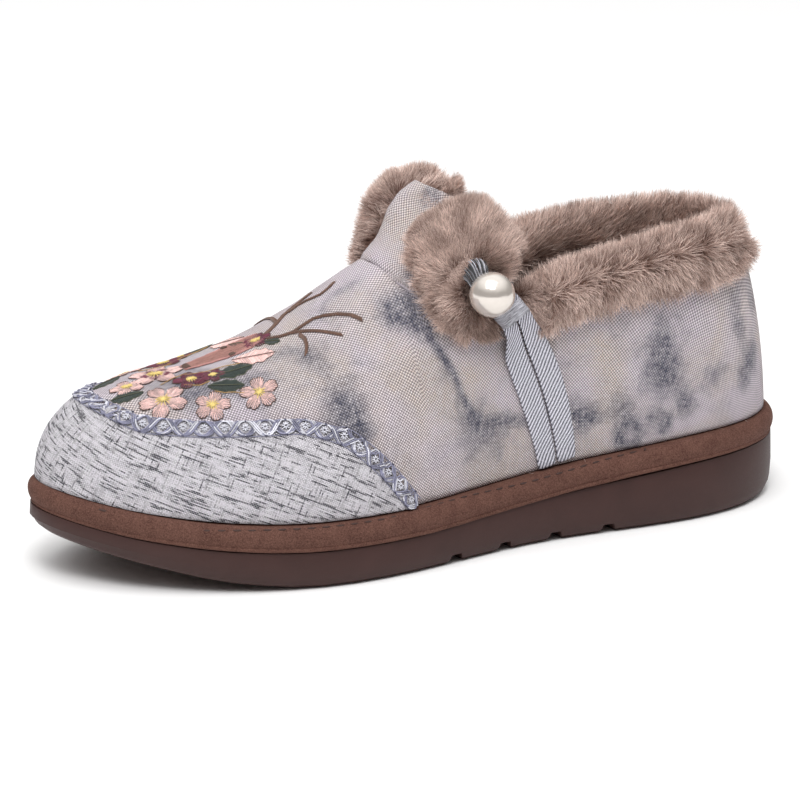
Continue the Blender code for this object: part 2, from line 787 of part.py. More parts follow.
def ribbon_line(share):
    """Station, height, distance out, width and spread of the ribbon along its line."""
    shares = np.linspace(0, 1, len(RIBBON["height"]))
    return [float(blend_curve(shares, RIBBON[name], share)) for name in RIBBON]


def ribbon_way(share, step=0.01):
    """The ribbon line's direction in side view."""
    ahead, behind = ribbon_line(min(share + step, 1)), ribbon_line(max(share - step, 0))
    way = np.array(ahead[:2]) - np.array(behind[:2])
    return way / np.linalg.norm(way)


def band_solid(path, thickness):
    """Flat band on the lateral side along a path of place, width direction, width and distance out."""
    rings = []
    for place, across, width, out in path:
        low, high = [], []
        for part in (-0.5, 0, 0.5):
            station, height = place + across * width * part
            low.append(on_side(station, height, LATERAL, out))
            high.append(on_side(station, height, LATERAL, out + thickness))
        rings.append(low + high[::-1])
    return tube_solid(rings)


def build_ribbon_loop(material, parent):
    """Up the front leg, round behind the button and down the back leg."""
    legs = {1: [], -1: []}
    for share in np.linspace(0, 1, 15):
        station, height, out, width, spread = ribbon_line(share)
        way = ribbon_way(share)
        across = np.array([way[1], -way[0]])
        for leg, path in legs.items():
            path.append((np.array([station, height]) + across * spread * leg, across * leg, width, out))
    bend = []
    for turn in np.linspace(0, math.pi, 8)[1:-1]:
        radial = across * math.cos(turn) + way * math.sin(turn)
        bend.append((np.array([station, height]) + radial * spread, radial, width, out))
    loop = band_solid(legs[1] + bend + legs[-1][::-1], RIBBON_THICKNESS)
    make_object("ribbon_loop", loop, material, parent)


def build_ribbon_keeper(material, parent):
    """Short wrap over both legs, just under the button."""
    station, height, out, width, spread = ribbon_line(KEEPER_SHARE)
    way = ribbon_way(KEEPER_SHARE)
    across = np.array([way[1], -way[0]])
    over = out + RIBBON_THICKNESS + 3 * FIT_GAP
    half = spread + width / 2 + 2 * FIT_GAP
    end = half + KEEPER_THICKNESS
    path = []
    for place, level in ((-end, out), (-half, over), (0, over), (half, over), (end, out)):
        path.append((np.array([station, height]) + across * place, way, KEEPER_LENGTH, level))
    make_object("ribbon_keeper", band_solid(path, KEEPER_THICKNESS), material, parent)


def build_pearl_button(material, parent):
    radius = PEARL_DIAMETER / 2
    out = ribbon_line(1)[2] + RIBBON_THICKNESS + FIT_GAP + radius
    centre = on_side(PEARL_STATION, PEARL_HEIGHT, LATERAL, out)
    make_object("pearl_button", ball(centre, radius), material, parent)


def build_shoe():
    for old in list(bpy.data.objects):
        bpy.data.objects.remove(old)
    shoe = bpy.data.objects.new("shoe", None)
    bpy.context.scene.collection.objects.link(shoe)
    build_outsole(principled("rubber", (0.085, 0.052, 0.045), 0.55), shoe)
    build_midsole(principled("suede", (0.13, 0.066, 0.05), 0.9), shoe)
    build_insole(principled("felt", (0.3, 0.24, 0.21), 0.95), shoe)
    cloth = principled("dyed_cloth", (0.5, 0.46, 0.47), 0.85)
    build_upper(cloth, shoe)
    build_throat_tab(cloth, shoe)
    build_toe_cap(principled("linen", (0.56, 0.54, 0.58), 0.85), shoe)
    fur = principled("fur", (0.35, 0.25, 0.21), 0.95)
    build_fur_collar(fur, shoe)
    build_tab_fur(fur, shoe)
    ribbon = principled("ribbon", (0.42, 0.43, 0.47), 0.45)
    build_ribbon_loop(ribbon, shoe)
    build_ribbon_keeper(ribbon, shoe)
    build_pearl_button(principled("pearl", (0.82, 0.77, 0.7), 0.12), shoe)


build_shoe()
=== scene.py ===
"""Low winter shoe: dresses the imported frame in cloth, linen, suede, rubber and fur, and sets its stage."""

import math
import random

import bmesh
import bpy
import numpy as np
from bpy.props import FloatProperty, FloatVectorProperty, IntProperty, PointerProperty
from bpy.types import Operator, Panel, PropertyGroup
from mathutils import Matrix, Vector, noise
from mathutils.bvhtree import BVHTree


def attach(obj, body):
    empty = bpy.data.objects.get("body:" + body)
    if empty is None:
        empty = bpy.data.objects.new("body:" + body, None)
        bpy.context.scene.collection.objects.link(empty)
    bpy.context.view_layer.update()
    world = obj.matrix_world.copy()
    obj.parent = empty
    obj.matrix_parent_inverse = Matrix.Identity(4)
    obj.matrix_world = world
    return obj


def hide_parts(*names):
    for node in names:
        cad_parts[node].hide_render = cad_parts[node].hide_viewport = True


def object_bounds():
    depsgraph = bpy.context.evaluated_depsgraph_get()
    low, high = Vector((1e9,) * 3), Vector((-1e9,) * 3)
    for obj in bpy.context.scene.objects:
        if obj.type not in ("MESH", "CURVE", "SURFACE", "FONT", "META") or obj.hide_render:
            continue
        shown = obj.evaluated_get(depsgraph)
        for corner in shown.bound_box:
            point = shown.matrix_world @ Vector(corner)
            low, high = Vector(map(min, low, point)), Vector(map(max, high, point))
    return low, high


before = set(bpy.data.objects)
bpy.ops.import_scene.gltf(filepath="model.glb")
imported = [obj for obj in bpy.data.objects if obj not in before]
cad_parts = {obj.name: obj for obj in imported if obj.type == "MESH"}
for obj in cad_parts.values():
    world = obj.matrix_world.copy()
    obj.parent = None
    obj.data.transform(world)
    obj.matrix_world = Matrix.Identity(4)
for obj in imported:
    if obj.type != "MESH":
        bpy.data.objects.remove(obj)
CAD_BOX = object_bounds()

bl_info = {
    "name": "Fur collar winter shoe",
    "version": (1, 0, 0),
    "blender": (4, 5, 0),
    "location": "3D View > Sidebar > Shoe",
    "description": "Dresses a low winter shoe in dyed cloth, linen, suede, rubber and fur",
    "category": "Object",
}

MM = 0.001
HEEL_END = CAD_BOX[1].x
MIDDLE = (CAD_BOX[0].y + CAD_BOX[1].y) / 2

# Distance that welds two corners, and where the flat pattern's back seam begins along the shoe, in metres
WELD = 2e-6
BACK_SEAM = 0.1

# Camera, as in the photograph
CAMERA_TARGET = Vector((0.0, 0.00055, 0.045))
CAMERA_AZIMUTH = -26.0
CAMERA_ELEVATION = 14.88
CAMERA_SHIFT = (-0.0248, -0.0102)

# Dye spots on the cloth: from the heel's end, across, height, radius in millimetres, then strength
DYE_SPOTS = (
    (146, -23, 78, 7.0, 1.1),
    (150, -20, 80, 5.0, 0.9),
    (141, -28, 72, 5.0, 0.6),
    (171, -36, 49, 5.5, 1.1),
    (174, -33, 54, 6.0, 0.9),
    (169, -38, 45, 4.0, 0.5),
    (137, -31, 62, 5.0, 0.4),
    (129, -34, 43, 6.0, 0.7),
    (121, -33, 37, 6.0, 0.4),
    (132, -35, 33, 5.0, 0.3),
    (114, -32, 41, 4.5, 0.6),
    (88, -30, 39.5, 6.0, 0.8),
    (96, -30, 46, 5.0, 0.3),
    (74, -31, 41, 4.0, 0.8),
    (71, -31, 31, 7.0, 0.45),
    (60, -31, 34, 6.5, 0.55),
    (49.5, -31, 38, 4.2, 0.9),
    (52, -31, 44, 4.0, 0.4),
    (59, -30, 65, 5.0, 0.6),
    (58.5, -30, 59, 4.5, 0.9),
    (56.5, -30, 52.5, 4.6, 1.2),
    (60, -30, 48, 4.0, 0.6),
    (26, -24, 61, 4.2, 1.0),
    (26, -22, 69, 4.0, 0.6),
    (20, -21, 50, 5.0, 1.0),
    (23, -24, 42, 5.0, 0.8),
    (37, -29, 46, 3.6, 0.6),
    (13, -17, 66, 6.0, 0.9),
    (14, -17, 77, 5.0, 0.7),
    (66, -30, 53, 8.0, 0.4),
    (67, -30, 62, 8.0, 0.35),
    (102, -31, 53, 9.0, 0.3),
    (102, -31, 43, 8.0, 0.3),
    (178, -20, 66, 4.6, 0.5),
    (183, -13, 67, 4.6, 0.4),
    (160, 0, 82, 5.0, 0.4),
    (211, -13, 58, 9.0, 0.8),
    (200, -17, 60, 8.0, 0.7),
    (222, -9, 55, 8.0, 0.6),
    (214, 3, 60, 9.0, 0.5),
    (4, 8, 58, 7.0, 0.8),
    (3, -6, 44, 6.0, 0.6),
    (10, 18, 40, 7.0, 0.8),
    (34, 30, 60, 7.0, 0.9),
    (30, 28, 52, 5.0, 0.8),
    (58, 31, 40, 8.0, 0.6),
    (52, 31, 34, 5.0, 0.9),
    (84, 30, 62, 7.0, 0.7),
    (80, 30, 54, 5.0, 0.8),
    (102, 30, 36, 7.0, 0.9),
    (109, 31, 32, 6.0, 0.6),
    (128, 32, 58, 8.0, 0.7),
    (122, 32, 50, 5.0, 0.8),
    (150, 34, 44, 7.0, 0.9),
    (145, 34, 38, 5.0, 0.6),
    (164, 27, 66, 7.0, 0.6),
    (186, 33, 52, 6.0, 0.7),
)

# Thin runs of dye: half width in millimetres and strength, then points as from the heel, across and height
DYE_RUNS = (
    (
        1.3, 1.0, (142, -28, 72), (138.5, -30.6, 65), (135, -32, 59),
        (133, -33, 52), (130, -34, 47), (128, -34, 41),
    ),
    (2.0, 0.6, (126, -33, 43), (117, -32, 42), (106, -31, 40), (93, -30, 40.5), (82, -30.5, 38)),
    (1.8, 0.9, (75.6, -31, 33), (73.7, -31, 27), (69, -31, 27), (67, -31, 32), (71, -31, 36), (74, -31, 34)),
    (1.6, 0.9, (63, -31, 36), (59, -31, 37.5), (56, -31, 34), (59, -31, 31)),
    (1.5, 0.8, (128, 32, 64), (124, 33, 54), (118, 32, 46), (112, 31, 38)),
    (1.7, 0.8, (64, 31, 44), (58, 31, 46), (54, 31, 41), (57, 31, 35), (63, 31, 36)),
)
TAB_SPOTS = (
    (129.8, -1, 109.5, 3.2, 0.9),
    (131.8, 5.5, 107, 2.4, 0.8),
    (128.5, -6, 109, 3.0, 0.7),
    (127, -17, 101, 3.0, 0.4),
    (136, -6, 97, 4.0, 0.4),
    (141, -16, 88, 4.0, 0.5),
    (126, 12, 104, 5.0, 0.8),
    (138, 16, 92, 5.0, 0.7),
)

# Embroidery on the vamp: from the heel's end and round the foot in millimetres, with widths, sizes and turns
LEAVES = (
    ((207.2, -8.5), (193.0, -11.5), 6.4),
    ((210.0, -13), (199.0, -18.8), 5.4),
    ((228, -5), (238.5, -2), 5.4),
)
STEMS = (
    ((209, -16.5), (206.5, -18.6), (204, -19.6), (201, -21.5)),
    ((216, -8.5), (212, -11.5), (208.5, -11)),
    ((213, -2), (207, -4.5), (201, -5.5), (197, -7.5)),
    ((222, -4), (217, -1.5), (212, -1)),
)
POSY_MIRROR = 11
WINE_FLOWERS = (((212.8, -6.0), 5.8, 0.4), ((206.2, -8.0), 3.8, 1.0))
PINK_FLOWERS = (((224.4, -12.6), 7.6, 0.2), ((211.7, -21.6), 5.8, 0.9), ((196.8, -23.4), 6.2, 0.5))
ANTLERS = (
    (1.5, (
        (185, -0.5), (181.5, -3.6), (178, -5.6), (171, -5.6),
        (168, -7.2), (164.8, -10.2), (162, -14.2), (159.8, -19),
    )),
    (1.3, ((178.5, -5.4), (176, -8), (172, -12.6), (166.8, -19))),
    (1.2, ((177.2, -8.5), (176.8, -12), (177.4, -15), (179, -18.4))),
    (1.5, ((184, 2.7), (179.7, 5.1), (175.1, 8.4), (170.5, 10.2), (164.4, 11.3))),
    (1.3, ((174, 8.3), (170, 8.8), (167.5, 7.8), (163.7, 5.0), (160.7, 5.4), (158.5, 6.5))),
    (1.2, ((178.5, 6.2), (177.5, 12), (177.4, 18), (179, 24))),
)

# Least angle at the rim of the toe cap, in degrees
CAP_RIM = 50

# Rim of the toe cap and seam under the tab: from the heel's end and height in millimetres
CAP_EDGE = (
    (153, 22), (158, 28.5), (164.5, 36.5), (175, 46.3), (188, 50.5), (203, 50.4), (217, 50.8), (240, 52.3),
)
TAB_SEAM = ((112, 78), (118, 76), (130, 75.5), (138, 78), (142, 81.5), (145.5, 86.5), (147.6, 89))

# Soft folds of the upper in millimetres: two ends as from the heel, across and height, half width and depth
FOLDS = (
    ((150, -6, 89), (132, -29, 75), 3.0, -0.7),
    ((150, 12, 89), (132, 29, 75), 3.0, -0.7),
    ((156, -14, 82), (146, -34, 60), 5.0, 0.5),
    ((166, -6, 78), (164, -33, 55), 5.0, -0.45),
    ((171, 2, 75), (176, -26, 60), 5.0, 0.35),
    ((166, 14, 77), (164, 33, 55), 5.0, -0.45),
    ((100, -31, 70), (92, -31, 34), 6.0, -0.5),
    ((66, -30, 72), (74, -31, 30), 7.0, 0.5),
    ((44, -29, 70), (48, -30, 34), 6.0, -0.45),
    ((24, -23, 74), (20, -22, 34), 6.0, 0.4),
    ((96, 30, 70), (92, 31, 34), 6.0, -0.5),
    ((60, 30, 72), (66, 31, 30), 7.0, 0.5),
    ((36, 28, 70), (38, 29, 34), 6.0, -0.45),
)

# Middle line of the ribbon's two legs: from the heel's end and height in millimetres
RIBBON_LINE = (
    (97.8, 26), (99.6, 36), (102.2, 46), (105.6, 56), (109.6, 65),
    (112.8, 71.2), (115.6, 75.5), (122, 84.2), (128, 92),
)

# Where the collar's pile parts: from the heel's end and height in millimetres
COLLAR_PARTING = ((0, 89.5), (20, 90), (50, 89), (80, 85), (103, 79.5))
BUTTON_HOLLOW = (123, -27, 82)
TAB_MIDDLE = (128, 2, 88)
TAB_FACING = Vector((-0.8, 0.0, 0.6))
TAB_BARE = 11.5

# How far cloth and fur are tucked, filled and drawn in, then the grain and the depth of the fur's skins
SEAM_TUCK = 1.9 * MM
CORNER_FILL = 3.6 * MM
HEEL_DRAW = 1.7 * MM
FUR_VOXEL = 1.6 * MM
FUR_SINK = 3.2 * MM


def shade(red, green, blue):
    """A screen colour from 0 to 255 as the linear colour that shaders use."""
    parts = []
    for value in (red, green, blue):
        value /= 255
        parts.append(value / 12.92 if value <= 0.04045 else ((value + 0.055) / 1.055) ** 2.4)
    return (*parts, 1.0)


def scaled(colour, factor):
    """A colour made darker or lighter."""
    return tuple(part * factor for part in colour)


def colour_setting(name, text, red, green, blue):
    """A colour that a user may change."""
    return FloatVectorProperty(
        name=name, description=text, subtype="COLOR", size=4, min=0, max=1, default=shade(red, green, blue)
    )


def length_setting(name, text, millimetres):
    """A length that a user may change, given in millimetres."""
    return FloatProperty(
        name=name, description=text, unit="LENGTH", min=0, precision=5, default=millimetres * MM
    )


def count_setting(name, text, number):
    """A number of hairs that a user may change."""
    return IntProperty(name=name, description=text, min=100, default=number)


def light_setting(name, text, strength, unit="POWER"):
    """A light that a user may change."""
    return FloatProperty(name=name, description=text, unit=unit, min=0, default=strength)


class ShoeCloth(PropertyGroup):
    """Colours and weave of the upper, the tab and the toe cap"""

    ground: colour_setting("Cloth ground", "Undyed threads of the upper", 248, 235, 246)
    warm: colour_setting("Cloth warm patches", "Patches where the dye has turned beige", 241, 225, 217)
    worn: colour_setting("Cloth worn threads", "Threads that the dye has left pale", 250, 243, 247)
    halo: colour_setting("Cloth dye halo", "Smoky edges of the dye spots", 160, 158, 169)
    slate: colour_setting("Cloth dye", "Slate dye spots", 70, 75, 100)
    hollow: colour_setting("Cloth hollows", "Shade between the threads of the upper", 66, 56, 62)
    weave: length_setting("Cloth weave", "Distance between threads of the upper", 0.58)
    linen: colour_setting("Linen ground", "Light threads of the toe cap", 244, 240, 247)
    linen_pale: colour_setting("Linen pale threads", "Palest threads of the toe cap", 250, 249, 252)
    linen_slub_and_shade: colour_setting("Linen slubs", "Dark thick threads of the toe cap", 44, 44, 54)
    linen_weave: length_setting("Linen weave", "Distance between threads of the toe cap", 0.4292)


class ShoeSole(PropertyGroup):
    """Colours and stitches of the sole"""

    rubber: colour_setting("Rubber", "Moulded outsole", 62, 40, 37)
    suede: colour_setting("Suede", "Wrapped platform", 64, 40, 34)
    suede_light: colour_setting("Brushed suede", "Suede brushed against its nap", 116, 82, 71)
    felt: colour_setting("Sock felt", "Felt sock inside", 150, 128, 118)
    thread: colour_setting("Welt thread", "Light side of the welt's thread", 72, 47, 40)
    thread_dark: colour_setting("Welt thread shade", "Dark side of the welt's thread", 44, 27, 23)
    stitch: length_setting("Welt stitch", "Distance between stitches of the welt", 4.6)


class ShoeFur(PropertyGroup):
    """Pile of the collar, the lapels and the lining"""

    root: colour_setting("Fur roots", "Dark roots of the pile", 127, 97, 85)
    tip: colour_setting("Fur tips", "Light tips of the pile", 252, 228, 217)
    pile: length_setting("Pile length", "Length of a hair of the collar", 4.9)
    hair: length_setting("Hair width", "Width of a hair at its root", 0.25)
    lining_pile: length_setting("Lining pile", "Length of a hair of the lining", 5.0)
    collar_hairs: count_setting("Collar hairs", "Number of hairs on the collar", 84000)
    lapel_hairs: count_setting("Lapel hairs", "Number of hairs on each lapel", 64000)
    bridge_hairs: count_setting("Throat hairs", "Number of hairs at the throat", 26000)
    lining_hairs: count_setting("Lining hairs", "Number of hairs in the lining", 40000)


class ShoeTrim(PropertyGroup):
    """Braid, embroidery, ribbon and button"""

    braid: colour_setting("Braid yarn", "Crossing yarn of the braid", 136, 136, 160)
    braid_light: colour_setting("Braid rings", "Light rings between the crossings", 222, 222, 232)
    braid_width: length_setting("Braid width", "Width of the braid along the toe cap", 6.0)
    braid_pitch: length_setting("Braid pitch", "Distance between crossings of the braid", 6.2)
    thread: length_setting("Thread radius", "Radius of an embroidery thread", 0.2)
    silver: colour_setting("Ribbon ribs", "Bright ribs of the ribbon", 234, 233, 244)
    silver_dark: colour_setting("Ribbon furrows", "Shade between the ribs", 78, 78, 92)
    ribs: length_setting("Ribbon ribs apart", "Distance between ribs of the ribbon", 1.5)
    pearl: colour_setting("Pearl", "Body of the imitation pearl", 222, 214, 206)


class ShoeStage(PropertyGroup):
    """Floor, light and camera"""

    floor: colour_setting("Floor", "Pale studio floor", 250, 250, 250)
    world: light_setting("Room light", "Strength of the even light of the room", 1.18, "NONE")
    key: light_setting("Overhead light", "Power of the soft box above", 42)
    front: light_setting("Front light", "Power of the soft box in front", 8)
    lens: FloatProperty(name="Lens", description="Focal length", unit="CAMERA", min=1, default=139.4)


class ShoeSettings(PropertyGroup):
    """All settings of the shoe"""

    cloth: PointerProperty(type=ShoeCloth)
    sole: PointerProperty(type=ShoeSole)
    fur: PointerProperty(type=ShoeFur)
    trim: PointerProperty(type=ShoeTrim)
    stage: PointerProperty(type=ShoeStage)


# Mesh helpers


def spot(from_heel, across, height):
    """A world point from the shoe's own sizes in millimetres."""
    return Vector((HEEL_END - from_heel * MM, across * MM + MIDDLE, height * MM))


def along(rows, value):
    """The second column of a table at a value of its first."""
    table = np.array(rows)
    return float(np.interp(value, table[:, 0], table[:, 1]))


def welded(node):
    """A copy of a CAD node, its loose triangles welded and joined into quads."""
    shape = bmesh.new()
    shape.from_mesh(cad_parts[node].data)
    bmesh.ops.remove_doubles(shape, verts=shape.verts[:], dist=WELD)
    bmesh.ops.join_triangles(
        shape,
        faces=shape.faces[:],
        angle_face_threshold=math.radians(60),
        angle_shape_threshold=math.radians(70),
    )
    return shape


def add_object(name, mesh):
    """A new object in the scene, at the origin."""
    made = bpy.data.objects.new(name, mesh)
    bpy.context.scene.collection.objects.link(made)
    return made


def object_from(shape, name):
    """A new object from a bmesh, which is freed."""
    mesh = bpy.data.meshes.new(name)
    shape.to_mesh(mesh)
    shape.free()
    return add_object(name, mesh)


def crease_rims(shape, degrees, weight):
    """Keeps a piece's rims when it is subdivided, and cuts its flat pattern there and down the heel."""
    layer = shape.edges.layers.float.new("crease_edge")
    for edge in shape.edges:
        if len(edge.link_faces) == 2 and edge.calc_face_angle() > math.radians(degrees):
            edge[layer] = weight
            edge.seam = True
        if all(abs(end.co.y - MIDDLE) < 0.4 * MM and end.co.x > BACK_SEAM for end in edge.verts):
            edge.seam = True


def bake(made):
    """Turns the object's modifiers into plain mesh."""
    graph = bpy.context.evaluated_depsgraph_get()
    result = bpy.data.meshes.new_from_object(
        made.evaluated_get(graph), preserve_all_data_layers=True, depsgraph=graph
    )
    made.modifiers.clear()
    made.data = result


def subdivide(made, levels):
    """Smooths the object by subdivision and bakes it."""
    modifier = made.modifiers.new("Smooth", "SUBSURF")
    modifier.levels = levels
    modifier.render_levels = levels
    bake(made)
    made.data.shade_smooth()


def soft_piece(node, name, weight, levels, pattern=None, degrees=55):
    """A CAD node as a soft piece, with its rims kept and its cloth laid flat where a pattern says how."""
    shape = welded(node)
    crease_rims(shape, degrees, weight)
    made = object_from(shape, name)
    if pattern:
        lay_flat(made, *pattern)
    subdivide(made, levels)
    return made


def finish_piece(made, material, slot, *nodes):
    """Gives a piece its material and its place in the frame."""
    made.data.materials.clear()
    made.data.materials.append(material)
    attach(made, "root")
    if nodes:
        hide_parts(*nodes)


def vertex_array(mesh):
    """Places and normals of a mesh's vertices as two arrays."""
    count = len(mesh.vertices)
    places = np.empty(count * 3)
    normals = np.empty(count * 3)
    mesh.vertices.foreach_get("co", places)
    mesh.vertex_normals.foreach_get("vector", normals)
    return places.reshape(-1, 3), normals.reshape(-1, 3)


def move_vertices(mesh, places):
    """Puts a mesh's vertices at new places."""
    mesh.vertices.foreach_set("co", places.ravel())
    mesh.update()


def store(mesh, name, kind, values):
    """Keeps a value for each vertex as a named attribute."""
    field = {"FLOAT": "value", "FLOAT_VECTOR": "vector", "FLOAT_COLOR": "color"}[kind]
    layer = mesh.attributes.new(name, kind, "POINT")
    layer.data.foreach_set(field, np.asarray(values, dtype=np.float32).ravel())


def skin_of(*objects):
    """A search tree over the faces of one or more objects."""
    points = []
    faces = []
    for made in objects:
        start = len(points)
        points += [vertex.co.copy() for vertex in made.data.vertices]
        faces += [[start + index for index in face.vertices] for face in made.data.polygons]
    return BVHTree.FromPolygons(points, faces)


def lay_flat(made, anchor, direction, method="ANGLE_BASED"):
    """Flattens the piece into a pattern in metres, with the cloth's warp along a direction at the anchor."""
    bpy.context.view_layer.objects.active = made
    made.select_set(True)
    bpy.ops.object.mode_set(mode="EDIT")
    bpy.ops.mesh.select_all(action="SELECT")
    bpy.ops.uv.unwrap(method=method, margin=0.001)
    bpy.ops.object.mode_set(mode="OBJECT")
    made.select_set(False)
    mesh = made.data
    layer = mesh.uv_layers.active.data
    near = min(mesh.polygons, key=lambda face: (face.center - anchor).length)
    first, second, third = list(near.loop_indices)[:3]
    corner = [mesh.vertices[mesh.loops[index].vertex_index].co for index in (first, second, third)]
    flat = [Vector(layer[index].uv) for index in (first, second, third)]
    sides = np.array([corner[1] - corner[0], corner[2] - corner[0]])
    shares = np.linalg.lstsq(sides.T, np.array(direction), rcond=None)[0]
    mapped = (flat[1] - flat[0]) * float(shares[0]) + (flat[2] - flat[0]) * float(shares[1])
    reached = sides.T @ shares
    scale = float(np.linalg.norm(reached)) / mapped.length
    turn = -math.atan2(mapped.y, mapped.x)
    cos, sin = math.cos(turn) * scale, math.sin(turn) * scale
    values = np.empty(len(layer) * 2, dtype=np.float32)
    layer.foreach_get("uv", values)
    pairs = values.reshape(-1, 2) @ np.array([[cos, sin], [-sin, cos]], dtype=np.float32)
    layer.foreach_set("uv", pairs.ravel())


# Node helpers


def feed(tree, node, inputs):
    """Feeds each named input of a node from a socket or a value."""
    for key, value in inputs.items():
        if isinstance(value, bpy.types.NodeSocket):
            tree.links.new(value, node.inputs[key])
        else:
            node.inputs[key].default_value = value


def place(tree, kind, inputs=None, **options):
    """Adds a node, sets its options and feeds its inputs."""
    made = tree.nodes.new(kind)
    for option, value in options.items():
        setattr(made, option, value)
    feed(tree, made, inputs or {})
    return made


def calc(tree, operation, first, second=0.0):
    """One step of arithmetic."""
    made = place(tree, "ShaderNodeMath", {0: first, 1: second}, operation=operation)
    return made.outputs[0]


def vector_calc(tree, operation, first, second=(0, 0, 0)):
    """One step of vector arithmetic."""
    made = place(tree, "ShaderNodeVectorMath", {0: first, 1: second}, operation=operation)
    return made.outputs[0]


def blend_colour(tree, share, first, second, way="MIX"):
    """Mixes two colours by a share."""
    made = place(tree, "ShaderNodeMix", {0: share, 6: first, 7: second}, data_type="RGBA", blend_type=way)
    return made.outputs[2]


def remap(tree, value, low, high, new_low=0.0, new_high=1.0):
    """Stretches a range of values onto another and clamps it."""
    made = place(tree, "ShaderNodeMapRange", {0: value, 1: low, 2: high, 3: new_low, 4: new_high})
    return made.outputs[0]


def cloud(tree, where, scale, detail=2.0, roughness=0.5, distortion=0.0):
    """Noise with a mean of a half."""
    made = place(
        tree,
        "ShaderNodeTexNoise",
        {"Vector": where, "Scale": scale, "Detail": detail, "Roughness": roughness, "Distortion": distortion},
    )
    return made.outputs["Fac"]


def new_tree(name, kind, inputs, outputs):
    """A node group with named sockets, and its two ends."""
    tree = bpy.data.node_groups.new(name, kind)
    for socket, kind_of, default in inputs:
        made = tree.interface.new_socket(name=socket, in_out="INPUT", socket_type=kind_of)
        if default is not None:
            made.default_value = default
    for socket, kind_of in outputs:
        tree.interface.new_socket(name=socket, in_out="OUTPUT", socket_type=kind_of)
    return tree, tree.nodes.new("NodeGroupInput"), tree.nodes.new("NodeGroupOutput")


def group_of(name, build):
    """A shared node group, built on first use."""
    return bpy.data.node_groups.get(name) or build()


def use_group(tree, name, build, inputs):
    """Places a shared group in a material."""
    return place(tree, "ShaderNodeGroup", inputs, node_tree=group_of(name, build))


def weave_group():
    """Plain weave: height of the threads and the hollows between them, deeper beside one set of threads."""
    tree, start, end = new_tree(
        "Plain weave",
        "ShaderNodeTree",
        [
            ("Place", "NodeSocketVector", None),
            ("Pitch", "NodeSocketFloat", 0.001),
            ("Cross", "NodeSocketFloat", 0.5),
        ],
        [("Height", "NodeSocketFloat"), ("Hollow", "NodeSocketFloat"), ("Under", "NodeSocketFloat")],
    )
    turns = calc(tree, "DIVIDE", math.pi, start.outputs["Pitch"])
    uneven = {"Vector": start.outputs["Place"], "Scale": 260.0, "Detail": 2.0}
    wander = place(tree, "ShaderNodeTexNoise", uneven)
    loose = vector_calc(tree, "SUBTRACT", wander.outputs["Color"], (0.5, 0.5, 0.5))
    reach = calc(tree, "MULTIPLY", start.outputs["Pitch"], 0.5)
    loose = place(tree, "ShaderNodeVectorMath", {0: loose, "Scale": reach}, operation="SCALE").outputs[0]
    where = vector_calc(tree, "ADD", start.outputs["Place"], loose)
    phase = place(tree, "ShaderNodeVectorMath", {0: where, "Scale": turns}, operation="SCALE").outputs[0]
    axes = place(tree, "ShaderNodeSeparateXYZ", {0: phase})
    warp = calc(tree, "SINE", axes.outputs[0])
    weft = calc(tree, "SINE", axes.outputs[1])
    over = remap(tree, calc(tree, "MULTIPLY", warp, weft), -1.0, 1.0)
    beside_warp = remap(tree, calc(tree, "ABSOLUTE", warp), 0.62, 0.0)
    beside_weft = remap(tree, calc(tree, "ABSOLUTE", weft), 0.62, 0.0)
    beside_weft = calc(tree, "MULTIPLY", beside_weft, start.outputs["Cross"])
    hollow = calc(tree, "MAXIMUM", beside_warp, beside_weft)
    height = calc(tree, "SUBTRACT", over, hollow)
    tree.links.new(height, end.inputs["Height"])
    tree.links.new(hollow, end.inputs["Hollow"])
    tree.links.new(remap(tree, over, 0.72, 0.3), end.inputs["Under"])
    return tree


def nap_group():
    """Brushed nap: height of the fibres and the patches that lean to the light."""
    tree, start, end = new_tree(
        "Brushed nap",
        "ShaderNodeTree",
        [
            ("Place", "NodeSocketVector", None),
            ("Grain", "NodeSocketFloat", 1800.0),
            ("Patch", "NodeSocketFloat", 90.0),
        ],
        [("Height", "NodeSocketFloat"), ("Lean", "NodeSocketFloat")],
    )
    fine = cloud(tree, start.outputs["Place"], start.outputs["Grain"], 3.0, 0.65)
    patch = cloud(tree, start.outputs["Place"], start.outputs["Patch"], 4.0, 0.6, 0.6)
    lean = calc(tree, "ADD", calc(tree, "MULTIPLY", fine, 0.75), calc(tree, "MULTIPLY", patch, 0.25))
    tree.links.new(fine, end.inputs["Height"])
    tree.links.new(remap(tree, lean, 0.32, 0.68), end.inputs["Lean"])
    return tree


def thread_group():
    """Single threads along one way of a pattern, each with its own run of tones."""
    tree, start, end = new_tree(
        "Single threads",
        "ShaderNodeTree",
        [
            ("Place", "NodeSocketVector", None),
            ("Pitch", "NodeSocketFloat", 0.001),
            ("Run", "NodeSocketFloat", 90.0),
        ],
        [("Tone", "NodeSocketFloat")],
    )
    axes = place(tree, "ShaderNodeSeparateXYZ", {0: start.outputs["Place"]})
    number = calc(tree, "FLOOR", calc(tree, "DIVIDE", axes.outputs[1], start.outputs["Pitch"]))
    run = calc(tree, "MULTIPLY", axes.outputs[0], start.outputs["Run"])
    apart = calc(tree, "MULTIPLY", number, 13.7)
    where = place(tree, "ShaderNodeCombineXYZ", {0: run, 1: apart, 2: 0.0}).outputs[0]
    tree.links.new(cloud(tree, where, 1.0, 2.0, 0.6), end.inputs["Tone"])
    return tree


def new_material(name):
    """A material with an empty tree, and its shader."""
    material = bpy.data.materials.new(name)
    material.use_nodes = True
    tree = material.node_tree
    tree.nodes.clear()
    shader = tree.nodes.new("ShaderNodeBsdfPrincipled")
    output = tree.nodes.new("ShaderNodeOutputMaterial")
    tree.links.new(shader.outputs[0], output.inputs[0])
    return material, tree, shader


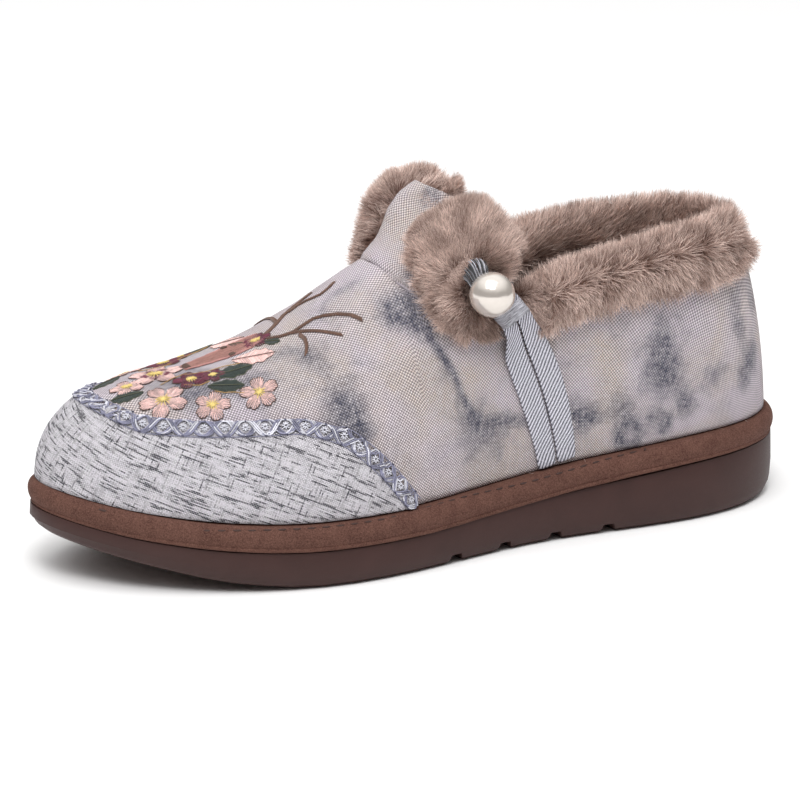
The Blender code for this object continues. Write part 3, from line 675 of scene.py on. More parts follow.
def raise_surface(tree, shader, height, depth, strength=1.0):
    """Feeds a height into the shader as bump."""
    bump = place(tree, "ShaderNodeBump", {"Height": height, "Distance": depth, "Strength": strength})
    tree.links.new(bump.outputs[0], shader.inputs["Normal"])


def coordinates(tree, name="Object"):
    """Object coordinates or the piece's flat pattern."""
    return tree.nodes.new("ShaderNodeTexCoord").outputs[name]


def attribute(tree, name, output="Fac"):
    """A value that the mesh carries."""
    made = tree.nodes.new("ShaderNodeAttribute")
    made.attribute_name = name
    return made.outputs[output]


# Materials


def quarter_turn(tree, pattern):
    """The pattern turned so that the weft lies along it."""
    return place(tree, "ShaderNodeMapping", {"Vector": pattern, "Rotation": (0, 0, math.pi / 2)}).outputs[0]


def rubber_material(sole):
    """Satin moulded rubber with a dusty bloom."""
    material, tree, shader = new_material("Moulded rubber")
    where = coordinates(tree)
    bloom = remap(tree, cloud(tree, where, 60.0, 5.0, 0.6, 0.4), 0.3, 0.7)
    speck = cloud(tree, where, 2600.0, 2.0)
    looks = {
        "Base Color": blend_colour(tree, bloom, scaled(sole.rubber, 0.9), scaled(sole.rubber, 1.12)),
        "Roughness": remap(tree, speck, 0.2, 0.8, 0.44, 0.6),
        "Specular IOR Level": 0.3,
    }
    feed(tree, shader, looks)
    raise_surface(tree, shader, speck, 0.06 * MM, 0.5)
    return material


def suede_material(sole):
    """Brown suede with a short brushed nap."""
    material, tree, shader = new_material("Brushed suede")
    fibres = {"Place": coordinates(tree), "Grain": 2300.0, "Patch": 160.0}
    nap = use_group(tree, "Brushed nap", nap_group, fibres)
    looks = {
        "Base Color": blend_colour(tree, nap.outputs["Lean"], sole.suede, sole.suede_light),
        "Roughness": remap(tree, nap.outputs["Lean"], 0.0, 1.0, 0.95, 0.8),
        "Sheen Weight": 0.25,
        "Sheen Roughness": 0.5,
        "Sheen Tint": sole.suede_light,
        "Specular IOR Level": 0.2,
    }
    feed(tree, shader, looks)
    raise_surface(tree, shader, nap.outputs["Height"], 0.3 * MM, 0.7)
    return material


def felt_material(sole):
    """Soft felt of the sock inside."""
    material, tree, shader = new_material("Sock felt")
    fibres = {"Place": coordinates(tree), "Grain": 900.0, "Patch": 160.0}
    nap = use_group(tree, "Brushed nap", nap_group, fibres)
    looks = {
        "Base Color": blend_colour(tree, nap.outputs["Lean"], scaled(sole.felt, 0.7), scaled(sole.felt, 1.1)),
        "Roughness": remap(tree, nap.outputs["Height"], 0.0, 1.0, 1.0, 0.85),
        "Sheen Weight": 0.3,
    }
    feed(tree, shader, looks)
    raise_surface(tree, shader, nap.outputs["Height"], 0.6 * MM, 0.8)
    return material


def cloth_material(cloth):
    """Dyed canvas: slate spots with smoky edges, warm patches, and a ribbed plain weave."""
    material, tree, shader = new_material("Dyed canvas")
    where = coordinates(tree)
    pattern = coordinates(tree, "UV")
    warm = remap(tree, cloud(tree, where, 34.0, 3.0, 0.55, 0.5), 0.38, 0.6)
    base = blend_colour(tree, warm, cloth.ground, cloth.warm)
    smoke = calc(tree, "SUBTRACT", cloud(tree, where, 95.0, 4.0, 0.58, 0.8), 0.5)
    drift = calc(tree, "SUBTRACT", cloud(tree, where, 40.0, 3.0, 0.55, 0.8), 0.52)
    stain = calc(tree, "ADD", attribute(tree, "dye"), calc(tree, "MULTIPLY", smoke, 1.7))
    stain = calc(tree, "ADD", stain, calc(tree, "MULTIPLY", drift, 1.7))
    base = blend_colour(tree, remap(tree, stain, -0.15, 0.5, 0.0, 0.4), base, cloth.halo)
    base = blend_colour(tree, remap(tree, stain, 0.26, 1.2, 0.0, 0.93), base, cloth.slate)
    tones = []
    for way in (quarter_turn(tree, pattern), pattern):
        threads = {"Place": way, "Pitch": cloth.weave, "Run": 260.0}
        tones.append(use_group(tree, "Single threads", thread_group, threads).outputs[0])
    worn = calc(tree, "MULTIPLY", *tones)
    base = blend_colour(tree, remap(tree, worn, 0.14, 0.4, 0.0, 0.6), base, cloth.worn)
    yarns = {"Place": pattern, "Pitch": cloth.weave, "Cross": 0.75}
    weave = use_group(tree, "Plain weave", weave_group, yarns)
    hollow = calc(tree, "MULTIPLY", weave.outputs["Hollow"], 0.4)
    shaded = calc(tree, "MAXIMUM", hollow, calc(tree, "MULTIPLY", weave.outputs["Under"], 0.74))
    looks = {
        "Base Color": blend_colour(tree, shaded, base, cloth.hollow, "MULTIPLY"),
        "Roughness": remap(tree, worn, 0.0, 0.5, 0.95, 0.75),
        "Specular IOR Level": 0.25,
        "Sheen Weight": 0.1,
    }
    feed(tree, shader, looks)
    raise_surface(tree, shader, weave.outputs["Height"], 0.3 * MM, 0.8)
    return material


def linen_material(cloth):
    """Heather linen: light threads both ways, with thin dark slubs, most of them one way."""
    material, tree, shader = new_material("Slub linen")
    pattern = coordinates(tree, "UV")
    turned = quarter_turn(tree, pattern)
    tones = []
    for way, run in ((pattern, 125.0), (turned, 150.0), (turned, 40.0)):
        threads = {"Place": way, "Pitch": cloth.linen_weave, "Run": run}
        tones.append(use_group(tree, "Single threads", thread_group, threads).outputs[0])
    main, cross, pale = tones
    yarns = {"Place": pattern, "Pitch": cloth.linen_weave, "Cross": 0.9}
    weave = use_group(tree, "Plain weave", weave_group, yarns)
    grey = scaled(cloth.linen, 0.42)
    dark_main = remap(tree, main, 0.55, 0.6, 0.0, 0.95)
    dark_cross = remap(tree, cross, 0.62, 0.67, 0.0, 0.9)
    mains = blend_colour(tree, remap(tree, main, 0.4, 0.52, 0.0, 0.7), cloth.linen, grey)
    mains = blend_colour(tree, dark_main, mains, cloth.linen_slub_and_shade)
    crosses = blend_colour(tree, remap(tree, cross, 0.5, 0.64, 0.0, 0.85), cloth.linen, grey)
    crosses = blend_colour(tree, dark_cross, crosses, cloth.linen_slub_and_shade)
    crosses = blend_colour(tree, remap(tree, pale, 0.5, 0.66, 0.0, 0.8), crosses, cloth.linen_pale)
    hidden = calc(tree, "MULTIPLY", weave.outputs["Under"], remap(tree, dark_main, 0.0, 1.0, 1.0, 0.35))
    hidden = calc(tree, "MAXIMUM", hidden, calc(tree, "MULTIPLY", dark_cross, 0.7))
    base = blend_colour(tree, hidden, mains, crosses)
    # Painted shade: the hollows between the threads are darkened towards the slubs' colour.
    hollow = calc(tree, "MULTIPLY", weave.outputs["Hollow"], 0.27)
    looks = {
        "Base Color": blend_colour(tree, hollow, base, cloth.linen_slub_and_shade),
        "Roughness": remap(tree, pale, 0.0, 1.0, 0.95, 0.78),
        "Specular IOR Level": 0.2,
    }
    feed(tree, shader, looks)
    height = calc(tree, "ADD", weave.outputs["Height"], calc(tree, "MULTIPLY", pale, 0.8))
    raise_surface(tree, shader, height, 0.3 * MM, 0.9)
    return material


def fur_material(fur):
    """Taupe pile with dark roots and light tips, and painted light in each piece's clump mark."""
    material, tree, shader = new_material("Taupe fur")
    tone = attribute(tree, "tone")
    # The clump mark moves a hair towards the tips' colour: random clumps from noise, and painted light that
    # starts shaded pieces lighter and lit pieces darker.
    clump_and_painted_light = calc(tree, "MULTIPLY", calc(tree, "SUBTRACT", attribute(tree, "clump_and_painted_light"), 0.5), 0.7)
    share = remap(tree, calc(tree, "ADD", attribute(tree, "pile"), clump_and_painted_light), 0.05, 1.05)
    base = blend_colour(tree, share, fur.root, fur.tip)
    dull = remap(tree, tone, 0.35, 1.0, 0.0, 0.85)
    looks = {
        "Base Color": blend_colour(tree, dull, base, scaled(fur.root, 0.9)),
        "Roughness": remap(tree, tone, 0.0, 1.0, 0.5, 0.75),
        "Specular IOR Level": 0.25,
        "Sheen Weight": 0.2,
        "Sheen Tint": fur.tip,
    }
    feed(tree, shader, looks)
    return material


def ribbon_material(trim):
    """Silver ribbon with slanting ribs and a glint."""
    material, tree, shader = new_material("Silver ribbon")
    pattern = coordinates(tree, "UV")
    axes = place(tree, "ShaderNodeSeparateXYZ", {0: pattern})
    slant = calc(tree, "ADD", calc(tree, "MULTIPLY", axes.outputs[0], 1.2), axes.outputs[1])
    rib = calc(tree, "SINE", calc(tree, "MULTIPLY", slant, 2 * math.pi / trim.ribs))
    fleck = cloud(tree, pattern, 2400.0, 2.0, 0.6)
    glint = calc(tree, "MULTIPLY", calc(tree, "SUBTRACT", fleck, 0.5), 2.4)
    share = remap(tree, calc(tree, "ADD", rib, glint), -1.0, 1.0)
    looks = {
        "Base Color": blend_colour(tree, share, trim.silver_dark, trim.silver),
        "Roughness": remap(tree, fleck, 0.3, 0.7, 0.3, 0.5),
        "Metallic": remap(tree, share, 0.0, 1.0, 0.1, 0.3),
    }
    feed(tree, shader, looks)
    raise_surface(tree, shader, share, 0.3 * MM, 0.8)
    return material


def satin_material(trim):
    """Silver satin of the keeper, with the lines of its winding."""
    material, tree, shader = new_material("Silver satin")
    wound = place(tree, "ShaderNodeMapping", {"Vector": coordinates(tree, "UV"), "Scale": (0.12, 1.0, 1.0)})
    thread = cloud(tree, wound.outputs[0], 2100.0, 3.0, 0.6)
    share = remap(tree, thread, 0.35, 0.68)
    looks = {
        "Base Color": blend_colour(tree, share, scaled(trim.silver, 0.18), scaled(trim.silver, 0.72)),
        "Roughness": remap(tree, thread, 0.3, 0.7, 0.35, 0.5),
        "Metallic": 0.2,
    }
    feed(tree, shader, looks)
    raise_surface(tree, shader, thread, 0.5 * MM, 0.9)
    return material


def pearl_material(trim):
    """Imitation pearl: ivory body with a soft mirror under a clear coat."""
    material, tree, shader = new_material("Imitation pearl")
    swirl = cloud(tree, coordinates(tree), 240.0, 3.0, 0.5, 1.2)
    looks = {
        "Base Color": blend_colour(tree, remap(tree, swirl, 0.3, 0.7), scaled(trim.pearl, 0.95), trim.pearl),
        "Roughness": remap(tree, swirl, 0.2, 0.8, 0.13, 0.18),
        "Metallic": 0.55,
        "Specular IOR Level": 0.6,
        "Coat Weight": 0.7,
        "Coat Roughness": 0.05,
    }
    feed(tree, shader, looks)
    return material


def yarn_material():
    """Embroidery yarn in the colour that each stitch carries, made on first use."""
    known = bpy.data.materials.get("Embroidery yarn")
    if known:
        return known
    material, tree, shader = new_material("Embroidery yarn")
    twist = cloud(tree, coordinates(tree), 2600.0, 2.0)
    tint = attribute(tree, "thread_colour", "Color")
    dark = vector_calc(tree, "MULTIPLY", tint, (0.7, 0.7, 0.7))
    looks = {
        "Base Color": blend_colour(tree, remap(tree, twist, 0.3, 0.65), dark, tint),
        "Roughness": remap(tree, twist, 0.0, 1.0, 0.4, 0.65),
        "Sheen Weight": 0.25,
        "Specular IOR Level": 0.4,
    }
    feed(tree, shader, looks)
    raise_surface(tree, shader, twist, 0.1 * MM, 0.5)
    return material


def welt_material(sole):
    """Twisted thread of the welt, its light and dark sides blended by noise: painted light and shade on the
    thread.
    """
    material, tree, shader = new_material("Welt thread")
    twist = cloud(tree, coordinates(tree), 1800.0, 2.0)
    tint = blend_colour(tree, twist, sole.thread_dark, sole.thread)
    feed(tree, shader, {"Base Color": tint, "Roughness": 0.7})
    return material


# Geometry node trees


def run_tree(made, tree, values):
    """Runs a geometry tree on an object with named inputs, and bakes the result."""
    modifier = made.modifiers.new(tree.name, "NODES")
    modifier.node_group = tree
    for item in tree.interface.items_tree:
        if item.item_type == "SOCKET" and item.in_out == "INPUT" and item.name in values:
            modifier[item.identifier] = values[item.name]
    bake(made)


def named(tree, name, kind):
    """An attribute of the geometry by its name."""
    made = place(tree, "GeometryNodeInputNamedAttribute", {"Name": name}, data_type=kind)
    return made.outputs["Attribute"]


def random_value(tree, low, high, seed):
    """A random number for each point."""
    made = place(tree, "FunctionNodeRandomValue", {2: low, 3: high, "Seed": seed}, data_type="FLOAT")
    return made.outputs[1]


def pile_tree():
    """Hairs on a skin: leaning tapered blades that follow the comb, joined with the skin."""
    tree, start, end = new_tree(
        "Fur pile",
        "GeometryNodeTree",
        [
            ("Skin", "NodeSocketGeometry", None),
            ("Hairs per area", "NodeSocketFloat", 1.0),
            ("Length", "NodeSocketFloat", 0.008),
            ("Width", "NodeSocketFloat", 0.0003),
            ("Lean", "NodeSocketFloat", 0.35),
            ("Seed", "NodeSocketInt", 1),
            ("Material", "NodeSocketMaterial", None),
        ],
        [("Geometry", "NodeSocketGeometry")],
    )
    given = start.outputs
    thick = calc(tree, "MULTIPLY", named(tree, "grow", "FLOAT"), given["Hairs per area"])
    roots = place(
        tree,
        "GeometryNodeDistributePointsOnFaces",
        {"Mesh": given["Skin"], "Density": thick, "Seed": given["Seed"]},
        distribute_method="RANDOM",
    )
    blade = place(
        tree, "GeometryNodeMeshGrid", {"Size X": 1.0, "Size Y": 1.0, "Vertices X": 2, "Vertices Y": 2}
    )
    axes = place(tree, "ShaderNodeSeparateXYZ", {0: tree.nodes.new("GeometryNodeInputPosition").outputs[0]})
    rise = calc(tree, "ADD", axes.outputs[1], 0.5)
    taper = calc(tree, "SUBTRACT", 1.0, calc(tree, "MULTIPLY", rise, 0.85))
    side = calc(tree, "MULTIPLY", calc(tree, "MULTIPLY", axes.outputs[0], taper), given["Width"])
    up = calc(tree, "MULTIPLY", rise, given["Length"])
    forward = calc(tree, "MULTIPLY", up, given["Lean"])
    shaped = place(tree, "ShaderNodeCombineXYZ", {0: forward, 1: side, 2: up}).outputs[0]
    rising = place(
        tree,
        "GeometryNodeStoreNamedAttribute",
        {"Geometry": blade.outputs[0], "Name": "pile", "Value": rise},
        data_type="FLOAT",
        domain="POINT",
    )
    hair = place(tree, "GeometryNodeSetPosition", {"Geometry": rising.outputs[0], "Position": shaped})
    comb = named(tree, "comb", "FLOAT_VECTOR")
    jitter = place(
        tree,
        "FunctionNodeRandomValue",
        {0: (-0.3, -0.3, -0.3), 1: (0.3, 0.3, 0.3), "Seed": 3},
        data_type="FLOAT_VECTOR",
    ).outputs[0]
    way = vector_calc(tree, "ADD", vector_calc(tree, "ADD", roots.outputs["Normal"], comb), jitter)
    turned = place(
        tree,
        "FunctionNodeAxesToRotation",
        {"Primary Axis": way, "Secondary Axis": vector_calc(tree, "ADD", comb, jitter)},
        primary_axis="Z",
        secondary_axis="X",
    )
    twist = {"Axis": (0, 0, 1), "Angle": random_value(tree, -0.9, 0.9, 5)}
    spin = place(tree, "FunctionNodeAxisAngleToRotation", twist).outputs[0]
    both = {0: turned.outputs[0], 1: spin}
    roll = place(tree, "FunctionNodeRotateRotation", both, rotation_space="LOCAL")
    tall = calc(tree, "MULTIPLY", random_value(tree, 0.7, 1.12, 7), named(tree, "reach", "FLOAT"))
    lean = random_value(tree, 0.3, 1.4, 9)
    broad = random_value(tree, 0.7, 1.2, 11)
    size = place(tree, "ShaderNodeCombineXYZ", {0: lean, 1: broad, 2: tall}).outputs[0]
    coat = place(
        tree,
        "GeometryNodeInstanceOnPoints",
        {
            "Points": roots.outputs["Points"],
            "Instance": hair.outputs[0],
            "Rotation": roll.outputs[0],
            "Scale": size,
        },
    )
    toned = place(
        tree,
        "GeometryNodeStoreNamedAttribute",
        {"Geometry": coat.outputs[0], "Name": "tone", "Value": random_value(tree, 0.0, 1.0, 13)},
        data_type="FLOAT",
        domain="INSTANCE",
    )
    real = place(tree, "GeometryNodeRealizeInstances", {0: toned.outputs[0]})
    joined = tree.nodes.new("GeometryNodeJoinGeometry")
    tree.links.new(real.outputs[0], joined.inputs[0])
    tree.links.new(given["Skin"], joined.inputs[0])
    painted = place(
        tree, "GeometryNodeSetMaterial", {"Geometry": joined.outputs[0], "Material": given["Material"]}
    )
    tree.links.new(painted.outputs[0], end.inputs[0])
    return tree


def thread_tree():
    """Yarn along every line of a mesh, as thick as each point says."""
    tree, start, end = new_tree(
        "Yarn",
        "GeometryNodeTree",
        [
            ("Lines", "NodeSocketGeometry", None),
            ("Sides", "NodeSocketInt", 5),
            ("Material", "NodeSocketMaterial", None),
        ],
        [("Geometry", "NodeSocketGeometry")],
    )
    given = start.outputs
    lines = place(tree, "GeometryNodeMeshToCurve", {"Mesh": given["Lines"]})
    ring = place(tree, "GeometryNodeCurvePrimitiveCircle", {"Resolution": given["Sides"], "Radius": 1.0})
    yarn = place(
        tree,
        "GeometryNodeCurveToMesh",
        {
            "Curve": lines.outputs[0],
            "Profile Curve": ring.outputs[0],
            "Scale": named(tree, "thread_radius", "FLOAT"),
            "Fill Caps": True,
        },
    )
    smooth = place(tree, "GeometryNodeSetShadeSmooth", {"Geometry": yarn.outputs[0]})
    real = place(tree, "GeometryNodeRealizeInstances", {0: smooth.outputs[0]})
    paint = {"Geometry": real.outputs[0], "Material": given["Material"]}
    painted = place(tree, "GeometryNodeSetMaterial", paint)
    tree.links.new(painted.outputs[0], end.inputs[0])
    return tree


def stitch_tree():
    """Even stitches along a line, each a short bead of thread."""
    tree, start, end = new_tree(
        "Stitch row",
        "GeometryNodeTree",
        [
            ("Line", "NodeSocketGeometry", None),
            ("Pitch", "NodeSocketFloat", 0.004),
            ("Length", "NodeSocketFloat", 0.003),
            ("Thickness", "NodeSocketFloat", 0.0006),
            ("Material", "NodeSocketMaterial", None),
        ],
        [("Geometry", "NodeSocketGeometry")],
    )
    given = start.outputs
    line = place(tree, "GeometryNodeMeshToCurve", {"Mesh": given["Line"]})
    steps = {"Curve": line.outputs[0], "Length": given["Pitch"]}
    even = place(tree, "GeometryNodeResampleCurve", steps, mode="LENGTH")
    bead = place(tree, "GeometryNodeMeshUVSphere", {"Segments": 6, "Rings": 5, "Radius": 0.5})
    tangent = tree.nodes.new("GeometryNodeInputTangent").outputs[0]
    turned = place(tree, "FunctionNodeAlignRotationToVector", {"Vector": tangent}, axis="X")
    size = place(
        tree, "ShaderNodeCombineXYZ", {0: given["Length"], 1: given["Thickness"], 2: given["Thickness"]}
    ).outputs[0]
    row = place(
        tree,
        "GeometryNodeInstanceOnPoints",
        {
            "Points": even.outputs[0],
            "Instance": bead.outputs[0],
            "Rotation": turned.outputs[0],
            "Scale": size,
        },
    )
    real = place(tree, "GeometryNodeRealizeInstances", {0: row.outputs[0]})
    smooth = place(tree, "GeometryNodeSetShadeSmooth", {"Geometry": real.outputs[0]})
    paint = {"Geometry": smooth.outputs[0], "Material": given["Material"]}
    painted = place(tree, "GeometryNodeSetMaterial", paint)
    tree.links.new(painted.outputs[0], end.inputs[0])
    return tree


# Threads that are laid on the shoe


def yarn_piece(name, threads, slot, sides=5):
    """A finished piece of embroidery yarn."""
    yarn = yarn_material()
    finish_piece(thread_object(name, threads, yarn, sides), yarn, slot)


def thread_object(name, threads, material, sides):
    """Yarn from a list of threads, each given as points, radius and colour."""
    points = []
    edges = []
    radii = []
    colours = []
    for line, radius, tint in threads:
        start = len(points)
        points += [tuple(point) for point in line]
        edges += [(start + step, start + step + 1) for step in range(len(line) - 1)]
        radii += [radius] * len(line)
        colours += [tint] * len(line)
    mesh = bpy.data.meshes.new(name)
    mesh.from_pydata(points, edges, [])
    store(mesh, "thread_radius", "FLOAT", radii)
    store(mesh, "thread_colour", "FLOAT_COLOR", colours)
    made = add_object(name, mesh)
    run_tree(made, group_of("Yarn", thread_tree), {"Sides": sides, "Material": material})
    return made


def tinted(tint, dice, spread=0.12):
    """A thread colour, a little lighter or darker each time."""
    factor = 1 + dice.uniform(-spread, spread)
    return (tint[0] * factor, tint[1] * factor, tint[2] * factor, 1.0)


class VampChart:
    """The vamp's surface, in millimetres from the heel's end and round the foot from its middle plane."""

    def __init__(self, skin):
        self.stations = np.arange(148.0, 246.0, 2.0)
        turns = np.radians(np.arange(-84.0, 84.1, 3.0))
        self.girths = []
        self.places = []
        for from_heel in self.stations:
            axis = spot(from_heel, 0, 30)
            hits = []
            for turn in turns:
                way = Vector((0, math.sin(turn), math.cos(turn)))
                hit = skin.ray_cast(axis + way * 0.12, -way)[0]
                if hit is not None:
                    hits.append(tuple(hit))
            hits = np.array(hits)
            steps = np.r_[0, np.cumsum(np.linalg.norm(np.diff(hits, axis=0), axis=1))] / MM
            self.girths.append(steps - np.interp(MIDDLE, hits[:, 1], steps))
            self.places.append(hits)

    def row(self, index, girth):
        """The point of one station's section."""
        section = self.places[index]
        return np.array([np.interp(girth, self.girths[index], section[:, axis]) for axis in range(3)])

    def point(self, from_heel, girth):
        """The point on the cloth."""
        step = (from_heel - self.stations[0]) / (self.stations[1] - self.stations[0])
        step = min(max(step, 0.0), len(self.stations) - 1.001)
        index = int(step)
        share = step - index
        return Vector(self.row(index, girth) * (1 - share) + self.row(index + 1, girth) * share)

    def lifted(self, from_heel, girth, lift):
        """The point on the cloth, raised by a height in millimetres."""
        here = self.point(from_heel, girth)
        forward = self.point(from_heel + 1.5, girth) - self.point(from_heel - 1.5, girth)
        round_foot = self.point(from_heel, girth + 1.5) - self.point(from_heel, girth - 1.5)
        up = round_foot.cross(forward).normalized()
        if up.z < 0:
            up.negate()
        return here + up * lift * MM


class Needle:
    """Lays embroidery stitches on the vamp."""

    def __init__(self, chart, radius):
        self.chart = chart
        self.radius = radius
        self.threads = []
        self.dice = random.Random(11)

    def stitch(self, start, end, tint, radius=None, lift=0.12, spread=0.12):
        """One straight stitch, its ends drawn into the cloth."""
        radius = radius or self.radius
        line = []
        for share, rise in ((0.0, -0.15), (0.18, 0.75), (0.5, 1.0), (0.82, 0.75), (1.0, -0.15)):
            where = [first + (second - first) * share for first, second in zip(start, end)]
            line.append(self.chart.lifted(where[0], where[1], lift + rise * radius / MM))
        self.threads.append((line, radius, tinted(tint, self.dice, spread)))

    def outline(self, path, tint, radius, lift=0.1):
        """A thin thread couched along a path."""
        line = [self.chart.lifted(where[0], where[1], lift + radius / MM) for where in path]
        self.threads.append((line, radius, tinted(tint, self.dice)))

    def petal(self, centre, reach, turn, spread, tint, edge, inner=0.2):
        """A petal in long and short stitches, darker towards the flower's heart, with a notched end."""
        count = max(7, int(reach * spread * 2 * 0.62 / 0.42))
        deep = scaled(tint, 0.7)
        rim = []
        for step in range(count):
            share = 2 * step / (count - 1) - 1
            angle = turn + share * spread
            far = reach * (1 - 0.32 * abs(share) ** 2.4 - 0.1 * math.exp(-((share / 0.16) ** 2)))
            far *= 1 + self.dice.uniform(-0.03, 0.03)
            middle = reach * (0.52 + self.dice.uniform(-0.1, 0.1))
            ways = np.array((math.cos(angle), math.sin(angle)))
            ends = [tuple(np.array(centre) + ways * at) for at in (reach * inner, middle, far)]
            self.stitch(ends[0], ends[1], deep, spread=0.25)
            self.stitch(ends[1], ends[2], tint, lift=0.2, spread=0.22)
            rim.append(tuple(np.array(centre) + ways * (far + 0.12)))
        self.outline(rim, edge, 0.00017)

    def flower(self, centre, reach, turn, tint, heart, edge, petals=5):
        """A round flower with a knotted heart."""
        half = math.pi / petals * 0.8
        for step in range(petals):
            self.petal(centre, reach, turn + step * 2 * math.pi / petals, half, tint, edge)
        for step in range(13):
            angle = step * 2 * math.pi / 13
            size = reach * self.dice.uniform(0.22, 0.38)
            end = (centre[0] + math.cos(angle) * size, centre[1] + math.sin(angle) * size)
            self.stitch(centre, end, heart, self.radius * 0.9, 0.45)

    def leaf(self, base, tip, width, tint, edge):
        """A pointed leaf: slanting stitches on both sides of a vein."""
        way = np.array(tip) - np.array(base)
        length = float(np.linalg.norm(way))
        way /= length
        side = np.array([-way[1], way[0]])
        count = int(length / 0.36)
        for hand in (-1, 1):
            rim = []
            for step in range(count):
                share = (step + 0.5) / count
                out = width / 2 * math.sin(math.pi * share**0.8) ** 0.8
                out *= 1 + 0.12 * math.sin(share * 22)
                root = np.array(base) + way * length * share * 0.9
                end = np.array(base) + way * (length * share * 0.9 + out * 0.55) + side * hand * out
                self.stitch(tuple(root), tuple(end), tint, spread=0.3)
                rim.append(tuple(end + side * hand * 0.1))
            self.outline(rim, edge, 0.1 * MM)
        vein = [tuple(np.array(base) + way * length * share) for share in np.linspace(0, 0.95, 9)]
        self.outline(vein, edge, 0.12 * MM, 0.45)

    def rope(self, path, width, tint):
        """A rope of short slanting stitches along a path."""
        path = np.array(path, dtype=float)
        steps = np.r_[0, np.cumsum(np.linalg.norm(np.diff(path, axis=0), axis=1))]
        count = int(steps[-1] / 0.5)
        for step in range(count):
            at = steps[-1] * (step + 0.5) / count
            here = np.array([np.interp(at, steps, path[:, axis]) for axis in range(2)])
            ahead = np.array([np.interp(at + 0.4, steps, path[:, axis]) for axis in range(2)])
            back = np.array([np.interp(at - 0.4, steps, path[:, axis]) for axis in range(2)])
            way = (ahead - back) / max(np.linalg.norm(ahead - back), 1e-6)
            side = np.array([-way[1], way[0]])
            slim = 1 - 0.35 * at / steps[-1]
            start = here - way * 0.65 - side * width / 2 * slim
            end = here + way * 0.65 + side * width / 2 * slim
            self.stitch(tuple(start), tuple(end), tint, self.radius * 1.15, 0.2, 0.22)


# Operators, one for each group of pieces


def settings():
    """The settings of this scene."""
    return bpy.context.scene.shoe


def fold_upper(made):
    """Lays the soft folds into the upper, in the shoe's own sizes."""
    places, normals = vertex_array(made.data)
    axis = np.tile((0.0, MIDDLE, 0.035), (len(places), 1))
    axis[:, 0] = np.clip(places[:, 0], -0.09, 0.09)
    outward = np.sign((normals * (places - axis)).sum(1))[:, None] * normals
    for first, second, width, depth in FOLDS:
        start, end = np.array(spot(*first)), np.array(spot(*second))
        gap, share = off_line(places, start, end)
        gap /= width * MM
        fade = np.clip(1.15 - np.abs(2 * share - 1) ** 3, 0, 1)
        places = places + outward * (depth * MM * np.exp(-(gap**2)) * fade)[:, None]
    move_vertices(made.data, places)


def off_line(places, start, end):
    """Distance of every place from a straight line between two points, and the share along the line."""
    line = end - start
    share = ((places - start) @ line) / (line @ line)
    foot = start + np.clip(share, 0, 1)[:, None] * line
    return np.linalg.norm(places - foot, axis=1), share


def dye(made, spots, runs=()):
    """Marks how much dye each point of the cloth has taken."""
    places, _ = vertex_array(made.data)
    taken = np.zeros(len(places))
    for from_heel, across, height, radius, strength in spots:
        gap = np.linalg.norm(places - np.array(spot(from_heel, across, height)), axis=1) / (radius * MM)
        taken += strength * np.exp(-(gap**2) * 0.8)
    for width, strength, *corners in runs:
        nearest = np.full(len(places), np.inf)
        for first, second in zip(corners, corners[1:]):
            gap, _ = off_line(places, np.array(spot(*first)), np.array(spot(*second)))
            nearest = np.minimum(nearest, gap)
        taken += strength * np.exp(-((nearest / (width * MM)) ** 2))
    store(made.data, "dye", "FLOAT", np.clip(taken, 0, 1.3))


class SHOE_OT_sole(Operator):
    """Rubber outsole, suede platform and felt sock"""

    bl_idname = "shoe.sole"
    bl_label = "Sole"

    def execute(self, context):
        sole = settings().sole
        rubber = object_from(welded("outsole"), "rubber_outsole")
        bevel = rubber.modifiers.new("Moulded edge", "BEVEL")
        bevel.width = 0.4 * MM
        bevel.segments = 2
        bevel.limit_method = "ANGLE"
        bevel.angle_limit = math.radians(40)
        bake(rubber)
        rubber.data.shade_smooth()
        rubber.data.set_sharp_from_angle(angle=math.radians(50))
        finish_piece(rubber, rubber_material(sole), "rubber", "outsole")
        platform = soft_piece("midsole", "suede_platform", 0.85, 2)
        finish_piece(platform, suede_material(sole), "suede", "midsole")
        sock = soft_piece("insole", "felt_sock", 0.4, 1)
        finish_piece(sock, felt_material(sole), "felt", "insole")
        return {"FINISHED"}


class SHOE_OT_upper(Operator):
    """Upper and standing tab in dyed cloth"""

    bl_idname = "shoe.upper"
    bl_label = "Upper and tab"

    def execute(self, context):
        canvas = cloth_material(settings().cloth)
        upper = soft_piece("upper", "cloth_upper", 0.7, 2, (spot(176, -14, 69), Vector((1, 0, 0))))
        fold_upper(upper)
        dye(upper, DYE_SPOTS, DYE_RUNS)
        finish_piece(upper, canvas, "dyed_cloth", "upper")
        tab = soft_piece("throat_tab", "cloth_tab", 0.6, 2, (spot(134, -4, 100), Vector((0, 1, 0))))
        self.tuck(tab)
        dye(tab, TAB_SPOTS + DYE_SPOTS)
        finish_piece(tab, canvas, "dyed_cloth", "throat_tab")
        return {"FINISHED"}

    def tuck(self, tab):
        """Draws the tab's lower edge in under the vamp, and fills out its medial corner."""
        places, _ = vertex_array(tab.data)
        for index, point in enumerate(places):
            above = point[2] / MM - along(TAB_SEAM, (HEEL_END - point[0]) / MM)
            places[index][2] -= SEAM_TUCK * min(1.0, max(0.0, 1 - above / 4))
            share = along(((94, 0), (102, 1), (107, 1), (114, 0)), point[2] / MM)
            share *= math.exp(-(((point[1] - spot(0, 9.5, 0).y) / (7 * MM)) ** 2))
            places[index] += np.array(TAB_FACING) * CORNER_FILL * share
        move_vertices(tab.data, places)


def cast_sides(skin, stations, edge, drop):
    """Where level rays meet a skin just below an edge, with its normals: lateral side, then medial side."""
    sides = []
    for hand in (-1, 1):
        way = Vector((0, -hand, 0))
        hits = [skin.ray_cast(spot(at, hand * 90, along(edge, at) - drop), way) for at in stations]
        sides.append([hit[:2] for hit in hits if hit[0] is not None])
    return sides


